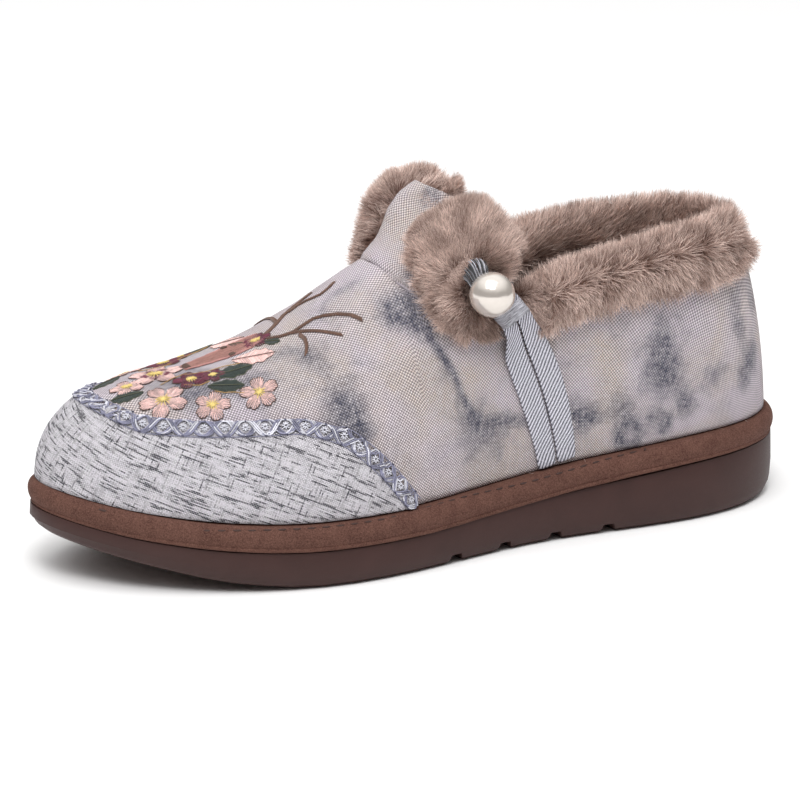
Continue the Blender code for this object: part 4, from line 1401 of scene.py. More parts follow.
class SHOE_OT_seam(Operator):
    """Rolled seam between the vamp and the tab, as a cord darker than the cloth: painted shade of its crease.
    """

    bl_idname = "shoe.seam"
    bl_label = "Tab seam"

    def execute(self, context):
        skin = skin_of(bpy.data.objects["cloth_upper"])
        sides = cast_sides(skin, np.arange(114.0, 147.6, 1.0), TAB_SEAM, 2.4)
        if len(sides[0]) < 10:
            raise RuntimeError("the seam under the tab was not found")
        line = []
        for hit, normal in [*sides[0], *reversed(sides[1])]:
            upward = (Vector((0, 0, 1)) - normal * normal.z).normalized()
            line.append(hit + upward * SEAM_TUCK)
        path, _ = even_path(line, 1.5 * MM)
        # Painted shade: the cord takes the cloth's ground, darkened to the shade of the seam's crease.
        tint = scaled(settings().cloth.ground, 0.42)
        yarn_piece("tab_seam", [([Vector(point) for point in path], 0.4 * MM, tint)], "dyed_cloth", 8)
        return {"FINISHED"}


class SHOE_OT_toe_cap(Operator):
    """Linen toe cap"""

    bl_idname = "shoe.toe_cap"
    bl_label = "Toe cap"

    def execute(self, context):
        pattern = (spot(205, -60, 32), Vector((0.92, 0, -0.4)), "MINIMUM_STRETCH")
        cap = soft_piece("toe_cap", "linen_toe_cap", 0.6, 2, pattern, CAP_RIM)
        finish_piece(cap, linen_material(settings().cloth), "linen", "toe_cap")
        return {"FINISHED"}


def cap_rim():
    """The upper outer rim of the toe cap, from the lateral side round the toe to the medial side."""
    cap = skin_of(bpy.data.objects["linen_toe_cap"])
    sides = cast_sides(cap, np.arange(CAP_EDGE[0][0], 236.0, 1.5), CAP_EDGE, 0.7)
    lateral, medial = [[hit for hit, _ in side] for side in sides]
    front = []
    shape = welded("toe_cap")
    cloth = skin_of(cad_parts["upper"])
    for vertex in shape.verts:
        edges = [edge for edge in vertex.link_edges if len(edge.link_faces) == 2]
        sharp = any(edge.calc_face_angle() > math.radians(CAP_RIM) for edge in edges)
        far = vertex.co.x < HEEL_END - 238 * MM and vertex.co.z > 40 * MM
        if sharp and far and cloth.find_nearest(vertex.co)[3] > 1.05 * MM:
            front.append(vertex.co.copy())
    shape.free()
    front.sort(key=lambda point: math.atan2(point.y - MIDDLE, -point.x - 0.08))
    return [*lateral, *front, *reversed(medial)]


def even_path(points, step):
    """A smooth path through points, sampled at an even step."""
    table = np.array([tuple(point) for point in points])
    for _ in range(3):
        table[1:-1] = (table[:-2] + 2 * table[1:-1] + table[2:]) / 4
    steps = np.r_[0, np.cumsum(np.linalg.norm(np.diff(table, axis=0), axis=1))]
    at = np.linspace(0, steps[-1], max(4, int(steps[-1] / step)))
    return np.stack([np.interp(at, steps, table[:, axis]) for axis in range(3)], 1), at


class SHOE_OT_braid(Operator):
    """Crossed yarn braid along the toe cap's edge"""

    bl_idname = "shoe.braid"
    bl_label = "Braid"

    def execute(self, context):
        trim = settings().trim
        path, at = even_path(cap_rim(), 0.4 * MM)
        if len(path) < 100:
            raise RuntimeError("the toe cap's rim was not found")
        skin = skin_of(bpy.data.objects["linen_toe_cap"], bpy.data.objects["cloth_upper"])
        cloth = skin_of(bpy.data.objects["cloth_upper"])
        ways = np.gradient(path, axis=0)
        ups = np.array([cloth.find_nearest(Vector(point))[1] for point in path])
        for _ in range(30):
            ups[1:-1] = (ups[:-2] + 2 * ups[1:-1] + ups[2:]) / 4
        sides = np.cross(ways, ups)
        sides /= np.linalg.norm(sides, axis=1)[:, None]
        ups = np.cross(sides, ways)
        ups /= np.linalg.norm(ups, axis=1)[:, None]
        half = trim.braid_width / 2 - 0.3 * MM
        dice = random.Random(5)

        def across(index, reach, lift):
            """A point beside the path, laid on the cloth or the cap."""
            rough = Vector(path[index] + sides[index] * reach)
            hit, _, _, gap = skin.find_nearest(rough)
            sunk = rough + (hit - rough).normalized() * min(gap, 1.0 * MM)
            return sunk + Vector(ups[index]) * lift

        threads = []
        for hand in (-1, 1):
            for strand in (-1, 0, 1):
                line = []
                for index in range(0, len(path), 2):
                    phase = math.pi * (at[index] + strand * 0.72 * MM) / trim.braid_pitch
                    reach = hand * half * math.sin(phase) * (1.12 - 0.12 * math.sin(phase) ** 2)
                    over = 0.55 + 0.28 * hand * math.cos(phase * 2 + 0.5)
                    line.append(across(index, reach, over * MM))
                for start in range(0, len(line) - 1, 3):
                    yarn = dice.choice((trim.braid, trim.braid, trim.braid_light))
                    threads.append((line[start : start + 4], 0.25 * MM, tinted(yarn, dice, 0.3)))
        for hand in (-1, 1):
            line = [across(index, hand * half * 1.08, 0.2 * MM) for index in range(0, len(path), 3)]
            threads.append((line, 0.16 * MM, tinted(trim.braid, dice)))
        beat = trim.braid_pitch
        for number in range(int(at[-1] / beat)):
            middle = (number + 0.5) * beat
            index = int(np.argmin(np.abs(at - middle)))
            for hand in (-1, 1):
                knot = [across(index + step, hand * half * 1.1, 0.5 * MM) for step in (-1, 0, 1)]
                threads.append((knot, 0.26 * MM, shade(62, 60, 86)))
            for petal in range(8):
                turn = petal * math.pi / 4
                line = []
                for share in (0.25, 0.6, 1.0):
                    shift = math.cos(turn) * 1.15 * MM * share
                    near = int(np.clip(index + round(shift / (at[1] - at[0])), 0, len(path) - 1))
                    line.append(across(near, math.sin(turn) * 1.15 * MM * share, (0.55 - 0.2 * share) * MM))
                threads.append((line, 0.24 * MM, tinted(trim.braid_light, dice, 0.1)))
        yarn_piece("toe_cap_braid", threads, "ribbon")
        return {"FINISHED"}


class SHOE_OT_embroidery(Operator):
    """Flowers, leaves and a deer's head in satin and rope stitch on the vamp"""

    bl_idname = "shoe.embroidery"
    bl_label = "Embroidery"

    def execute(self, context):
        chart = VampChart(skin_of(bpy.data.objects["cloth_upper"]))
        needle = Needle(chart, settings().trim.thread)
        pink, blush = shade(244, 206, 200), shade(184, 130, 124)
        wine, gold = shade(112, 40, 64), shade(190, 150, 90)
        green, moss = shade(36, 50, 44), shade(92, 96, 70)
        dusk, brown = shade(158, 110, 100), shade(104, 72, 56)
        dark, straw = shade(84, 56, 44), shade(240, 214, 130)
        for sided in (lambda at: at, lambda at: (at[0], POSY_MIRROR - at[1])):
            for base, tip, width in LEAVES:
                needle.leaf(sided(base), sided(tip), width, green, moss)
            for path in STEMS:
                needle.outline([sided(at) for at in path], gold, 0.14 * MM, 0.25)
            for tint, flowers in ((wine, WINE_FLOWERS), (pink, PINK_FLOWERS)):
                for centre, reach, turn in flowers:
                    needle.flower(sided(centre), reach, turn, tint, straw, dark)
        for width, path in ANTLERS:
            needle.rope(path, width, brown)
        self.head(needle, dusk, blush, dark, pink)
        for centre, reach, turn, tint in (
            ((230.5, 2.5), 5.6, 0.3, pink),
            ((219.6, 6.2), 8.6, 0.7, pink),
            ((219.6, 6.2), 5.0, 0.1, wine),
            ((187.4, 2.0), 4.8, 0.9, wine),
        ):
            needle.flower(centre, reach, turn, tint, straw, dark)
        needle.leaf((186, -1.5), (182.5, -6.5), 3.0, green, moss)
        needle.leaf((190.5, 5), (194, 9), 2.8, green, moss)
        yarn_piece("vamp_embroidery", needle.threads, "ribbon", 4)
        return {"FINISHED"}

    def head(self, needle, coat, ear, dark, pink):
        """The deer's head, nose towards the toe, in long satin stitches."""
        crown = np.array([185.5, 3.6])
        nose = np.array([210.5, 5.0])
        way = (nose - crown) / np.linalg.norm(nose - crown)
        side = np.array([-way[1], way[0]])
        length = float(np.linalg.norm(nose - crown))
        shape = ((0, 3.4), (0.2, 5.4), (0.42, 5.2), (0.65, 4.2), (0.85, 3.4), (1.0, 2.4))
        columns = 34
        for column in range(columns):
            hand = 2 * (column + 0.5) / columns - 1
            at = -0.02 + needle.dice.uniform(0, 0.05)
            while at < 1:
                reach = 0.16 + needle.dice.uniform(0, 0.06)
                ends = []
                for share in (at, min(at + reach, 1.02)):
                    out = along(shape, min(max(share, 0), 1)) * hand
                    ends.append(tuple(crown + way * length * share + side * out))
                tint = coat if abs(hand) < 0.75 else ear
                needle.stitch(ends[0], ends[1], tint, spread=0.2)
                at += reach * 0.9
        ears = {
            -1: ((198.0, -3.6), (185.4, -11.0)),
            1: (tuple(crown + way * 3.2 + side * 5.0), tuple(crown + way * 13.0 + side * 13.0)),
        }
        for hand, (base, tip) in ears.items():
            needle.leaf(base, tip, 7.4, pink, dark)
            eye = crown + way * length * 0.42 + side * hand * 3.9
            for step in range(-3, 4):
                middle = eye + side * step * 0.28
                half = way * (1.1 - 0.1 * abs(step))
                needle.stitch(tuple(middle - half), tuple(middle + half), dark, lift=0.4)
        for step in range(-6, 7):
            top = crown + way * (length - 1.6) + side * step * 0.3
            end = crown + way * (length + 0.7 - 0.1 * abs(step)) + side * step * 0.3
            needle.stitch(tuple(top), tuple(end), dark, lift=0.4)


def fur_skin(node, name, voxel):
    """An even, softened copy of a fur solid."""
    made = object_from(welded(node), name)
    even = made.modifiers.new("Even skin", "REMESH")
    even.mode = "VOXEL"
    even.voxel_size = voxel
    soft = made.modifiers.new("Soften", "SMOOTH")
    soft.factor = 0.5
    soft.iterations = 6
    bake(made)
    return made


def mark_growth(made, cloth):
    """Marks where hair grows, away from the cloth that the fur is sewn to, and returns the mark."""
    places, normals = vertex_array(made.data)
    grow = np.ones(len(places))
    for index, (point, normal) in enumerate(zip(places, normals)):
        hit, _, _, gap = cloth.find_nearest(Vector(point))
        if gap is not None and gap < 2.6 * MM and (hit - Vector(point)).dot(Vector(normal)) > 0.35 * gap:
            grow[index] = 0.0
    return grow


def sink(made, depth, grow):
    """Draws the skin in below the solid's face, so that the pile's tips fill the solid's form."""
    places, normals = vertex_array(made.data)
    tree = skin_of(made)
    button = spot(*BUTTON_HOLLOW)
    for index in np.nonzero(grow)[0]:
        point, normal = Vector(places[index]), Vector(normals[index])
        hit = tree.ray_cast(point - normal * 1e-5, -normal)
        thick = hit[3] if hit[3] is not None else depth * 3
        clear = min(1.0, max(0.0, ((point - button).length / MM - 11) / 5))
        places[index] -= np.array(normal) * min(depth, thick * 0.42) * clear
    move_vertices(made.data, places)


def front_of_tab():
    """A search tree over the front face of the tab, up to its rim."""
    shape = welded("throat_tab")
    shape.faces.ensure_lookup_table()
    anchor = spot(160, -4, 112)
    first = min(shape.faces, key=lambda face: (face.calc_center_median() - anchor).length)
    found = {first}
    open_faces = [first]
    while open_faces:
        face = open_faces.pop()
        for edge in face.edges:
            if len(edge.link_faces) == 2 and edge.calc_face_angle() < math.radians(55):
                fresh = [other for other in edge.link_faces if other not in found]
                found.update(fresh)
                open_faces += fresh
    points = [vertex.co.copy() for vertex in shape.verts]
    faces = [[vertex.index for vertex in face.verts] for face in shape.faces if face in found]
    tree = BVHTree.FromPolygons(points, faces)
    shape.free()
    return tree


def over_bare_front(point, margin=0.0):
    """Whether a point is level with the bare part of the tab's front, which widens towards its top."""
    reach = TAB_BARE + 0.45 * min(7.0, max(0.0, point[2] / MM - 93)) - margin
    return point[1] < spot(0, reach, 0).y


def draw_behind(made, front, grow):
    """Draws the skin in behind the tab's bare front, and stops the hair that would come through it."""
    places, _ = vertex_array(made.data)
    for index, point in enumerate(places):
        if not over_bare_front(point):
            continue
        hit, normal, _, gap = front.find_nearest(Vector(point))
        ahead = (Vector(point) - hit).dot(normal)
        if ahead > 0.9 * gap:
            places[index] = hit - normal * 0.8 * MM
            grow[index] = 0.0
        elif ahead > -2.0 * MM:
            places[index] -= np.array(normal) * (ahead + 2.0 * MM)
    move_vertices(made.data, places)


def round_heel(made):
    """Draws the collar in round the heel, and its lower edge up."""
    places, _ = vertex_array(made.data)
    for index, point in enumerate(places):
        from_heel = (HEEL_END - point[0]) / MM
        below = along(COLLAR_PARTING, from_heel) * MM - point[2]
        near = max(0.0, 1 - from_heel / 30)
        places[index][2] += max(0.0, below) * 0.5 * near
        places[index][0] -= HEEL_DRAW * near**2
    move_vertices(made.data, places)


def pile_share(comb, point):
    """How tall the pile stands: short under the loop's strands and low on the heel, tall on the lapel."""
    from_heel = (HEEL_END - point.x) / MM
    if comb is comb_lateral:
        away = point - spot(126, -40.7, 85)
        turn = math.degrees(math.atan2(away.z, -away.x))
        if math.hypot(away.x, away.z) < 9.4 * MM and 10 < turn < 90:
            return 0.3
        spread = along(((30, -0.4), (72, -0.4), (95, 0.4), (150, 0.6)), turn)
        return 1.15 + spread * along(((92, 0), (100, 1)), point.z / MM)
    if comb is comb_collar:
        return along(((0, 0.55), (18, 1.0)), from_heel)
    return 1.0


def clear_ribbon(made, grow):
    """Stops the hair that would come through the ribbon."""
    ribbon = skin_of(bpy.data.objects["silver_ribbon"], bpy.data.objects["silver_keeper"])
    places, normals = vertex_array(made.data)
    for index, (point, normal) in enumerate(zip(places, normals)):
        for rise in (0.0, -1.0, 0.7):
            way = Vector(normal) + Vector((0, 0, rise))
            if ribbon.ray_cast(Vector(point), way.normalized(), 5 * MM)[0] is not None:
                grow[index] = 0.0


def outward_at(point):
    """The level way out of the shoe at a point of its collar."""
    return Vector((max(point.x - 0.092, 0.0), point.y - MIDDLE, 0)).normalized()


def comb_collar(point, normal):
    """The lie of the collar's pile: up above its parting, down below it, up on the inside."""
    from_heel = (HEEL_END - point.x) / MM
    outward = outward_at(point)
    side = normal.dot(outward)
    height = point.z / MM - along(COLLAR_PARTING, from_heel)
    if side > 0.0:
        lift = max(-1.0, min(1.0, height / 4.0))
        wanted = Vector((0, 0, 1.0)) if lift > 0 else Vector((0, 0, -1.0)) + outward * 0.2
        return wanted * abs(lift) * (0.65 if lift > 0 else 0.95)
    return Vector((0.2, 0, 0.8)) - outward * 0.1


def comb_lateral(point, normal):
    """The lateral lapel's pile fans out from the hollow behind the button."""
    away = point - spot(*BUTTON_HOLLOW)
    reach = min(1.0, away.length / (9 * MM))
    return away.normalized() * 1.05 * reach + Vector((along(((84, -0.1), (98, 0.4)), point.z / MM), 0, -0.05))


def comb_bridge(point, normal):
    """The pile between collar and lapel hangs down, like the collar's below its parting."""
    height = point.z / MM - along(COLLAR_PARTING, (HEEL_END - point.x) / MM)
    return Vector((0.1, 0, 0.7 if height > 1 else -1.0))


def comb_medial(point, normal):
    """The medial lapel's pile stands away from the tab's middle, and lies flat where it faces the toe."""
    away = (point - spot(*TAB_MIDDLE)).normalized()
    level = (away - TAB_FACING * away.dot(TAB_FACING)).normalized()
    if over_bare_front(point) and normal.dot(TAB_FACING) > -0.2 and normal.dot(level) > -0.3:
        return level * 1.3 - normal * 0.9
    return (away - normal * away.dot(normal)) * 0.8


def grow_fur(made, comb, hairs, length, material, seed, depth):
    """Sinks a skin, marks its comb and tones, and grows its pile."""
    noise.seed_set(seed)
    fur = settings().fur
    cloth = skin_of(bpy.data.objects["cloth_upper"], bpy.data.objects["cloth_tab"])
    grow = mark_growth(made, cloth)
    if depth:
        sink(made, depth, grow)
    if comb is comb_bridge:
        clear_ribbon(made, grow)
    front = front_of_tab() if comb is comb_medial else None
    if front:
        draw_behind(made, front, grow)
    if comb is comb_collar:
        round_heel(made)
    mesh = made.data
    places, normals = vertex_array(mesh)
    combs = []
    clumps_and_painted_light = []
    reaches = []
    for index, (place_, normal) in enumerate(zip(places, normals)):
        point, facing = Vector(place_), Vector(normal)
        wanted = comb(point, facing)
        wander = noise.noise_vector(point * 260) * 0.26 + noise.noise_vector(point * 70) * 0.18
        wanted = wanted + wander
        if comb is not comb_medial:
            wanted = wanted - facing * wanted.dot(facing)
        combs.append(tuple(wanted))
        if front:
            tip = point + (facing + wanted).normalized() * length
            hit, cloth_way, _, _ = front.find_nearest(tip)
            if over_bare_front(tip, 1.0) and (tip - hit).dot(cloth_way) > 0.3 * MM:
                grow[index] = 0.0
        # Painted light: the collar's inside and the medial lapel, which lie in shade, start lighter, the
        # collar's outside less so, and the lit lateral lapel darkest. The noise adds random clumps.
        ground = 0.62 if comb is comb_medial else 0.38
        if comb is comb_collar:
            ground = 0.95 if facing.dot(outward_at(point)) < 0 else 0.6
        clumps_and_painted_light.append(ground + 0.9 * noise.noise(point * 300) + 0.5 * noise.noise(point * 90))
        reaches.append(pile_share(comb, point) + 0.14 * noise.noise(point * 180 + Vector((5, 5, 5))))
    marks = {"clump_and_painted_light": np.clip(clumps_and_painted_light, 0, 1), "reach": reaches, "grow": grow}
    area = sum(face.area * np.mean([grow[index] for index in face.vertices]) for face in mesh.polygons)
    grow_pile(made, combs, marks, hairs / area, length, fur.hair, material, seed)


def grow_pile(made, combs, marks, thick, length, width, material, seed):
    """Marks a skin and grows its pile, with a number of hairs to the square metre."""
    store(made.data, "comb", "FLOAT_VECTOR", combs)
    for name, values in marks.items():
        store(made.data, name, "FLOAT", values)
    inputs = {
        "Hairs per area": thick,
        "Length": length,
        "Width": width,
        "Lean": 0.4,
        "Seed": seed,
        "Material": material,
    }
    run_tree(made, group_of("Fur pile", pile_tree), inputs)


class SHOE_OT_fur(Operator):
    """Fur collar, lapels and lining"""

    bl_idname = "shoe.fur"
    bl_label = "Fur"

    def execute(self, context):
        fur = settings().fur
        material = fur_material(fur)
        pieces = (
            ("fur_collar", "fur_collar_pile", comb_collar, fur.collar_hairs, 21),
            ("fur_lapel_lateral", "lateral_lapel_pile", comb_lateral, fur.lapel_hairs, 22),
            ("fur_lapel_medial", "medial_lapel_pile", comb_medial, fur.lapel_hairs, 23),
        )
        for node, name, comb, hairs, seed in pieces:
            made = fur_skin(node, name, FUR_VOXEL)
            grow_fur(made, comb, hairs, fur.pile, material, seed, FUR_SINK)
            finish_piece(made, material, "fur", node)
        self.bridge(fur, material)
        self.line(fur, material)
        return {"FINISHED"}

    def bridge(self, fur, material):
        """The pile on both sides of the throat, between the collar and the lapels."""
        shape = welded("upper")
        drop = []
        for face in shape.faces:
            centre = face.calc_center_median()
            from_heel = (HEEL_END - centre.x) / MM
            outside = face.normal.y * (centre.y - MIDDLE) > 0 or face.normal.z > 0.4
            low = along(((96, 69), (104, 67.5), (114, 69), (127, 70)), from_heel)
            if not (outside and 96 < from_heel < 127 and centre.z > low * MM):
                drop.append(face)
        bmesh.ops.delete(shape, geom=drop, context="FACES")
        if not shape.faces:
            raise RuntimeError("the upper has no cloth beside the throat")
        for vertex in shape.verts:
            vertex.co += vertex.normal * 0.9 * MM
        made = object_from(shape, "throat_pile")
        subdivide(made, 1)
        grow_fur(made, comb_bridge, fur.bridge_hairs, fur.pile * 0.9, material, 25, 0)
        finish_piece(made, material, "fur")

    def line(self, fur, material):
        """The pile that lines the upper, under the collar's inner side."""
        shape = welded("upper")
        drop = []
        for face in shape.faces:
            centre = face.calc_center_median()
            inward = Vector((max(-0.085, min(0.09, centre.x)), MIDDLE, 0.04)) - centre
            if face.normal.dot(inward) <= 0.3 * inward.length or centre.x <= -0.06:
                drop.append(face)
        bmesh.ops.delete(shape, geom=drop, context="FACES")
        made = object_from(shape, "lining_pile")
        subdivide(made, 1)
        places, normals = vertex_array(made.data)
        move_vertices(made.data, places + normals * 0.7 * MM)
        wall = made.modifiers.new("Backing", "SOLIDIFY")
        wall.thickness = 0.4 * MM
        wall.offset = -1
        bake(made)
        places, normals = vertex_array(made.data)
        count = len(places)
        axis = np.tile((0.0, MIDDLE, 0.04), (count, 1))
        axis[:, 0] = np.clip(places[:, 0], -0.085, 0.09)
        inward = ((axis - places) * normals).sum(1) > 0
        clumps_and_painted_light = [0.35 + 0.5 * noise.noise(Vector(point) * 240) for point in places]
        marks = {"clump_and_painted_light": clumps_and_painted_light, "reach": np.ones(count), "grow": inward.astype(float)}
        combs = np.tile((0.1, 0.0, 0.7), (count, 1))
        thick = fur.lining_hairs * 2 / sum(face.area for face in made.data.polygons)
        grow_pile(made, combs, marks, thick, fur.lining_pile, fur.hair * 1.3, material, 24)
        finish_piece(made, material, "fur")


class SHOE_OT_ribbon(Operator):
    """Silver ribbon loop and its keeper"""

    bl_idname = "shoe.ribbon"
    bl_label = "Ribbon"

    def execute(self, context):
        trim = settings().trim
        cloth = skin_of(bpy.data.objects["cloth_upper"])
        pieces = (
            ("ribbon_loop", "silver_ribbon", ribbon_material(trim)),
            ("ribbon_keeper", "silver_keeper", satin_material(trim)),
        )
        for node, name, silver in pieces:
            made = soft_piece(node, name, 0.4, 2)
            flat = self.pattern(made)
            if node == "ribbon_loop":
                self.widen(made, flat, cloth)
            else:
                self.gather(made)
            finish_piece(made, silver, "ribbon", node)
        self.strands(trim)
        return {"FINISHED"}

    def strands(self, trim):
        """The ribs of the loop that show behind the button, towards the toe."""
        dice = random.Random(9)
        middle = spot(126, -37.5, 85)
        threads = []
        for step in range(56):
            turn = math.radians(16 + step * 1.3 + dice.uniform(-2, 2))
            start = middle + Vector((-math.cos(turn), 0, math.sin(turn))) * 6.0 * MM
            way = Vector((-0.45 * math.cos(turn) + dice.uniform(-0.12, 0.12), 0, 1)).normalized()
            tall = along(((20, 3.2), (60, 5.2), (90, 2.6)), math.degrees(turn)) + dice.uniform(-0.7, 0.7)
            line = []
            for share, rise in ((-0.2, 0.3), (0.4, 0.4), (0.8, 0.0), (1.0, -0.9), (1.1, -2.4)):
                line.append(start + way * tall * share * MM + Vector((0, -rise * MM, 0)))
            # Painted reflection: most strands are dimmed nearly to black and a few kept bright, the dark and
            # glinting look of the metal yarn.
            bright = dice.choice((0.02, 0.05, 0.1, 0.2, 0.6))
            threads.append((line, 0.17 * MM, tinted(scaled(trim.silver, bright), dice, 0.2)))
        yarn_piece("loop_strands", threads, "ribbon")

    def pattern(self, made):
        """Lays the ribbon's pattern: across it from the line between its legs, and along it."""
        line = np.array([tuple(spot(from_heel, 0, height)) for from_heel, height in RIBBON_LINE])[:, [0, 2]]
        steps = np.r_[0, np.cumsum(np.linalg.norm(np.diff(line, axis=0), axis=1))]
        mesh = made.data
        places, _ = vertex_array(mesh)
        flat = np.zeros((len(places), 2))
        for index, point in enumerate(places[:, [0, 2]]):
            best = None
            for step in range(len(line) - 1):
                way = line[step + 1] - line[step]
                share = float(np.clip((point - line[step]) @ way / (way @ way), 0, 1))
                off = point - (line[step] + way * share)
                gap = float(np.hypot(*off))
                if best is None or gap < best[0]:
                    hand = math.copysign(1, way[0] * off[1] - way[1] * off[0])
                    best = (gap, hand, steps[step] + share * (steps[step + 1] - steps[step]))
            gap, hand, at = best
            flat[index] = (gap * hand, at)
        while mesh.uv_layers:
            mesh.uv_layers.remove(mesh.uv_layers[0])
        layer = mesh.uv_layers.new(name="Ribbon pattern")
        corners = np.empty(len(mesh.loops), dtype=np.int32)
        mesh.loops.foreach_get("vertex_index", corners)
        layer.data.foreach_set("uv", flat[corners].astype(np.float32).ravel())
        return flat

    def gather(self, made):
        """Draws the keeper tight under the button."""
        places, _ = vertex_array(made.data)
        middle = (places.min(0) + places.max(0)) / 2
        places = middle + (places - middle) * (0.86, 0.9, 0.66) + np.array((-1.3, 0, 1.4)) * MM
        move_vertices(made.data, places)

    def widen(self, made, flat, cloth):
        """Spreads the soft legs over the cloth, and lets their ends reach the welt."""
        places, _ = vertex_array(made.data)
        for index, point in enumerate(places):
            reach, at = flat[index]
            more = along(((0, 0.06), (12, 0.2), (30, 0.3), (40, 0.28), (47, 0.0)), at / MM)
            low = max(0.0, 1 - at / (4 * MM))
            if more <= 0 and low <= 0:
                continue
            gap = cloth.find_nearest(Vector(point))[3]
            moved = Vector(point) + Vector((-reach * more, 0, -2.6 * MM * low))
            landed, facing, _, _ = cloth.find_nearest(moved)
            places[index] = landed + facing * gap
        move_vertices(made.data, places)


class SHOE_OT_pearl(Operator):
    """Imitation pearl button"""

    bl_idname = "shoe.pearl"
    bl_label = "Pearl button"

    def execute(self, context):
        made = object_from(welded("pearl_button"), "pearl_ball")
        subdivide(made, 2)
        finish_piece(made, pearl_material(settings().trim), "pearl", "pearl_button")
        return {"FINISHED"}


class SHOE_OT_stitching(Operator):
    """Seam stitches of the welt"""

    bl_idname = "shoe.stitching"
    bl_label = "Stitching"

    def execute(self, context):
        sole = settings().sole
        platform = skin_of(bpy.data.objects["suede_platform"])
        cloth = skin_of(bpy.data.objects["cloth_upper"], bpy.data.objects["linen_toe_cap"])
        line = []
        for turn in np.radians(np.arange(-178.0, 178.1, 1.5)):
            way = Vector((math.cos(turn), math.sin(turn), 0))
            start = Vector((0.02, MIDDLE, 27 * MM))
            wall = cloth.ray_cast(start + way * 0.25, -way)[0]
            if wall is None:
                continue
            hit = platform.ray_cast(wall + way * 4.6 * MM + Vector((0, 0, 0.05)), Vector((0, 0, -1)))[0]
            if hit is not None:
                line.append(hit + Vector((0, 0, 0.1 * MM)))
        self.bead()
        path, _ = even_path(line, 2 * MM)
        mesh = bpy.data.meshes.new("welt_stitches")
        links = [(step, step + 1) for step in range(len(path) - 1)]
        mesh.from_pydata([tuple(point) for point in path], links, [])
        made = add_object("welt_stitches", mesh)
        material = welt_material(sole)
        inputs = {
            "Pitch": sole.stitch,
            "Length": sole.stitch * 0.62,
            "Thickness": 0.65 * MM,
            "Material": material,
        }
        run_tree(made, group_of("Stitch row", stitch_tree), inputs)
        finish_piece(made, material, "suede")
        return {"FINISHED"}

    def bead(self):
        """The turned edge of the suede that fills the joint above the outsole."""
        rubber = skin_of(bpy.data.objects["rubber_outsole"])
        suede = skin_of(bpy.data.objects["suede_platform"])
        line = []
        for turn in np.radians(np.arange(0.0, 361.0, 1.5)):
            way = Vector((math.cos(turn), math.sin(turn), 0))
            wall = []
            for height in np.arange(34.0, 2.0, -0.3):
                start = Vector((0, MIDDLE, height * MM)) + way * 0.25
                above, below = suede.ray_cast(start, -way), rubber.ray_cast(start, -way)
                if above[0] is not None and (below[0] is None or above[3] < below[3]):
                    wall.append((above[3], above[0]))
            if wall:
                outermost = min(gap for gap, _ in wall)
                joint = [point for gap, point in wall if gap < outermost + 1.0 * MM][-1]
                line.append(joint - way * 0.4 * MM - Vector((0, 0, 0.6 * MM)))
        path, _ = even_path(line, 1.5 * MM)
        nap = bpy.data.materials["Brushed suede"]
        edge = [([Vector(point) for point in path], 0.8 * MM, settings().sole.suede_light)]
        finish_piece(thread_object("suede_turned_edge", edge, nap, 8), nap, "suede")


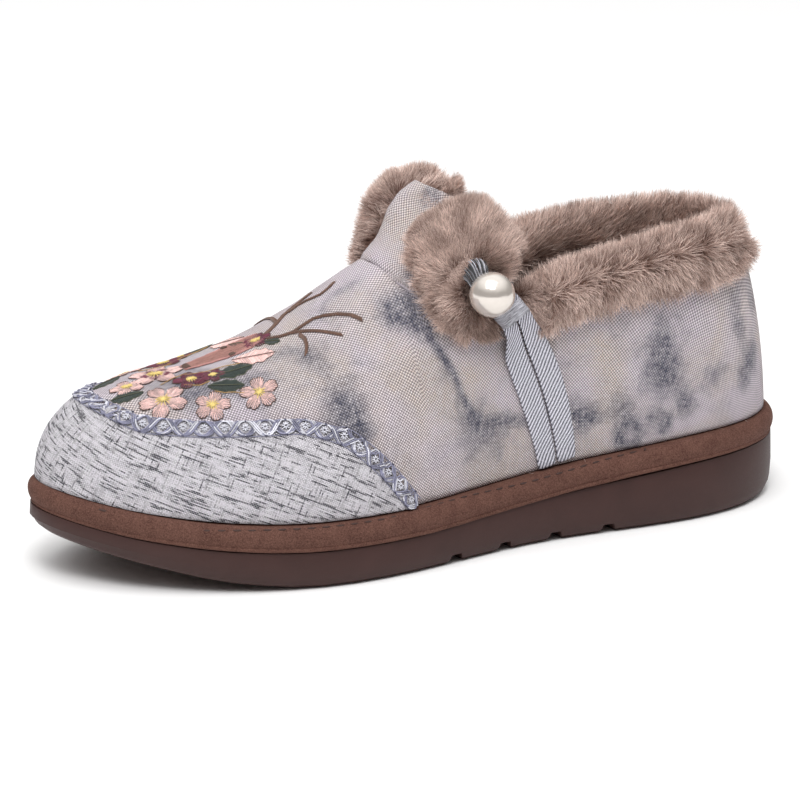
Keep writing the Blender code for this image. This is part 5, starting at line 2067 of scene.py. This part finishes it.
class SHOE_OT_stage(Operator):
    """Floor, soft light and camera"""

    bl_idname = "shoe.stage"
    bl_label = "Stage"

    def execute(self, context):
        stage = settings().stage
        shape = bmesh.new()
        bmesh.ops.create_grid(shape, x_segments=1, y_segments=1, size=6.0)
        floor = object_from(shape, "Studio floor")
        material, tree, shader = new_material("Studio floor")
        feed(tree, shader, {"Base Color": stage.floor, "Roughness": 0.9, "Specular IOR Level": 0.1})
        floor.data.materials.append(material)
        world = bpy.data.worlds.new("Studio room")
        world.use_nodes = True
        tree = world.node_tree
        sky = place(tree, "ShaderNodeSeparateXYZ", {0: coordinates(tree, "Generated")})
        dome = blend_colour(tree, remap(tree, sky.outputs[2], 0.35, 0.8), shade(84, 78, 74), (1, 1, 1, 1))
        feed(tree, tree.nodes["Background"], {"Strength": stage.world, "Color": dome})
        context.scene.world = world
        lamps = (
            ("Overhead soft box", stage.key, 2.4, Vector((-0.8, -0.9, 2.8))),
            ("Front soft box", stage.front, 0.45, Vector((-0.44, -0.9, 1.33))),
        )
        for name, power, size, where in lamps:
            data = bpy.data.lights.new(name, "AREA")
            data.energy = power
            data.size = size
            lamp = bpy.data.objects.new(name, data)
            lamp.location = where
            lamp.rotation_mode = "QUATERNION"
            lamp.rotation_quaternion = (CAMERA_TARGET - where).to_track_quat("-Z", "Y")
            context.scene.collection.objects.link(lamp)
        azimuth, elevation = math.radians(CAMERA_AZIMUTH), math.radians(CAMERA_ELEVATION)
        back = Vector(
            (
                math.sin(azimuth) * math.cos(elevation),
                -math.cos(azimuth) * math.cos(elevation),
                math.sin(elevation),
            )
        )
        data = bpy.data.cameras.new("Camera")
        data.lens = stage.lens
        data.sensor_width = 36.0
        data.shift_x, data.shift_y = CAMERA_SHIFT
        camera = bpy.data.objects.new("Camera", data)
        camera.location = CAMERA_TARGET + back
        camera.rotation_mode = "QUATERNION"
        camera.rotation_quaternion = (-back).to_track_quat("-Z", "Y")
        context.scene.collection.objects.link(camera)
        context.scene.camera = camera
        context.scene.view_settings.view_transform = "Standard"
        return {"FINISHED"}


OPERATORS = (
    SHOE_OT_stage,
    SHOE_OT_sole,
    SHOE_OT_upper,
    SHOE_OT_toe_cap,
    SHOE_OT_braid,
    SHOE_OT_seam,
    SHOE_OT_embroidery,
    SHOE_OT_ribbon,
    SHOE_OT_fur,
    SHOE_OT_pearl,
    SHOE_OT_stitching,
)


class SHOE_PT_panel(Panel):
    """The shoe's settings and pieces"""

    bl_idname = "SHOE_PT_panel"
    bl_label = "Winter shoe"
    bl_space_type = "VIEW_3D"
    bl_region_type = "UI"
    bl_category = "Shoe"

    def draw(self, context):
        shoe = context.scene.shoe
        for operator in OPERATORS:
            self.layout.operator(operator.bl_idname)
        for group in (shoe.cloth, shoe.sole, shoe.fur, shoe.trim, shoe.stage):
            box = self.layout.box()
            for name in group.__annotations__:
                box.prop(group, name)


CLASSES = (ShoeCloth, ShoeSole, ShoeFur, ShoeTrim, ShoeStage, ShoeSettings, *OPERATORS, SHOE_PT_panel)


def register():
    """Adds the classes and the scene's settings."""
    for made in CLASSES:
        bpy.utils.register_class(made)
    bpy.types.Scene.shoe = PointerProperty(type=ShoeSettings)


def unregister():
    """Takes the classes and the settings away."""
    del bpy.types.Scene.shoe
    for made in reversed(CLASSES):
        bpy.utils.unregister_class(made)


def main():
    """Builds every piece."""
    register()
    bpy.ops.shoe.stage()
    bpy.ops.shoe.sole()
    bpy.ops.shoe.upper()
    bpy.ops.shoe.toe_cap()
    bpy.ops.shoe.braid()
    bpy.ops.shoe.seam()
    bpy.ops.shoe.embroidery()
    bpy.ops.shoe.ribbon()
    bpy.ops.shoe.fur()
    bpy.ops.shoe.pearl()
    bpy.ops.shoe.stitching()
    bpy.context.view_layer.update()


if __name__ == "__main__":
    main()
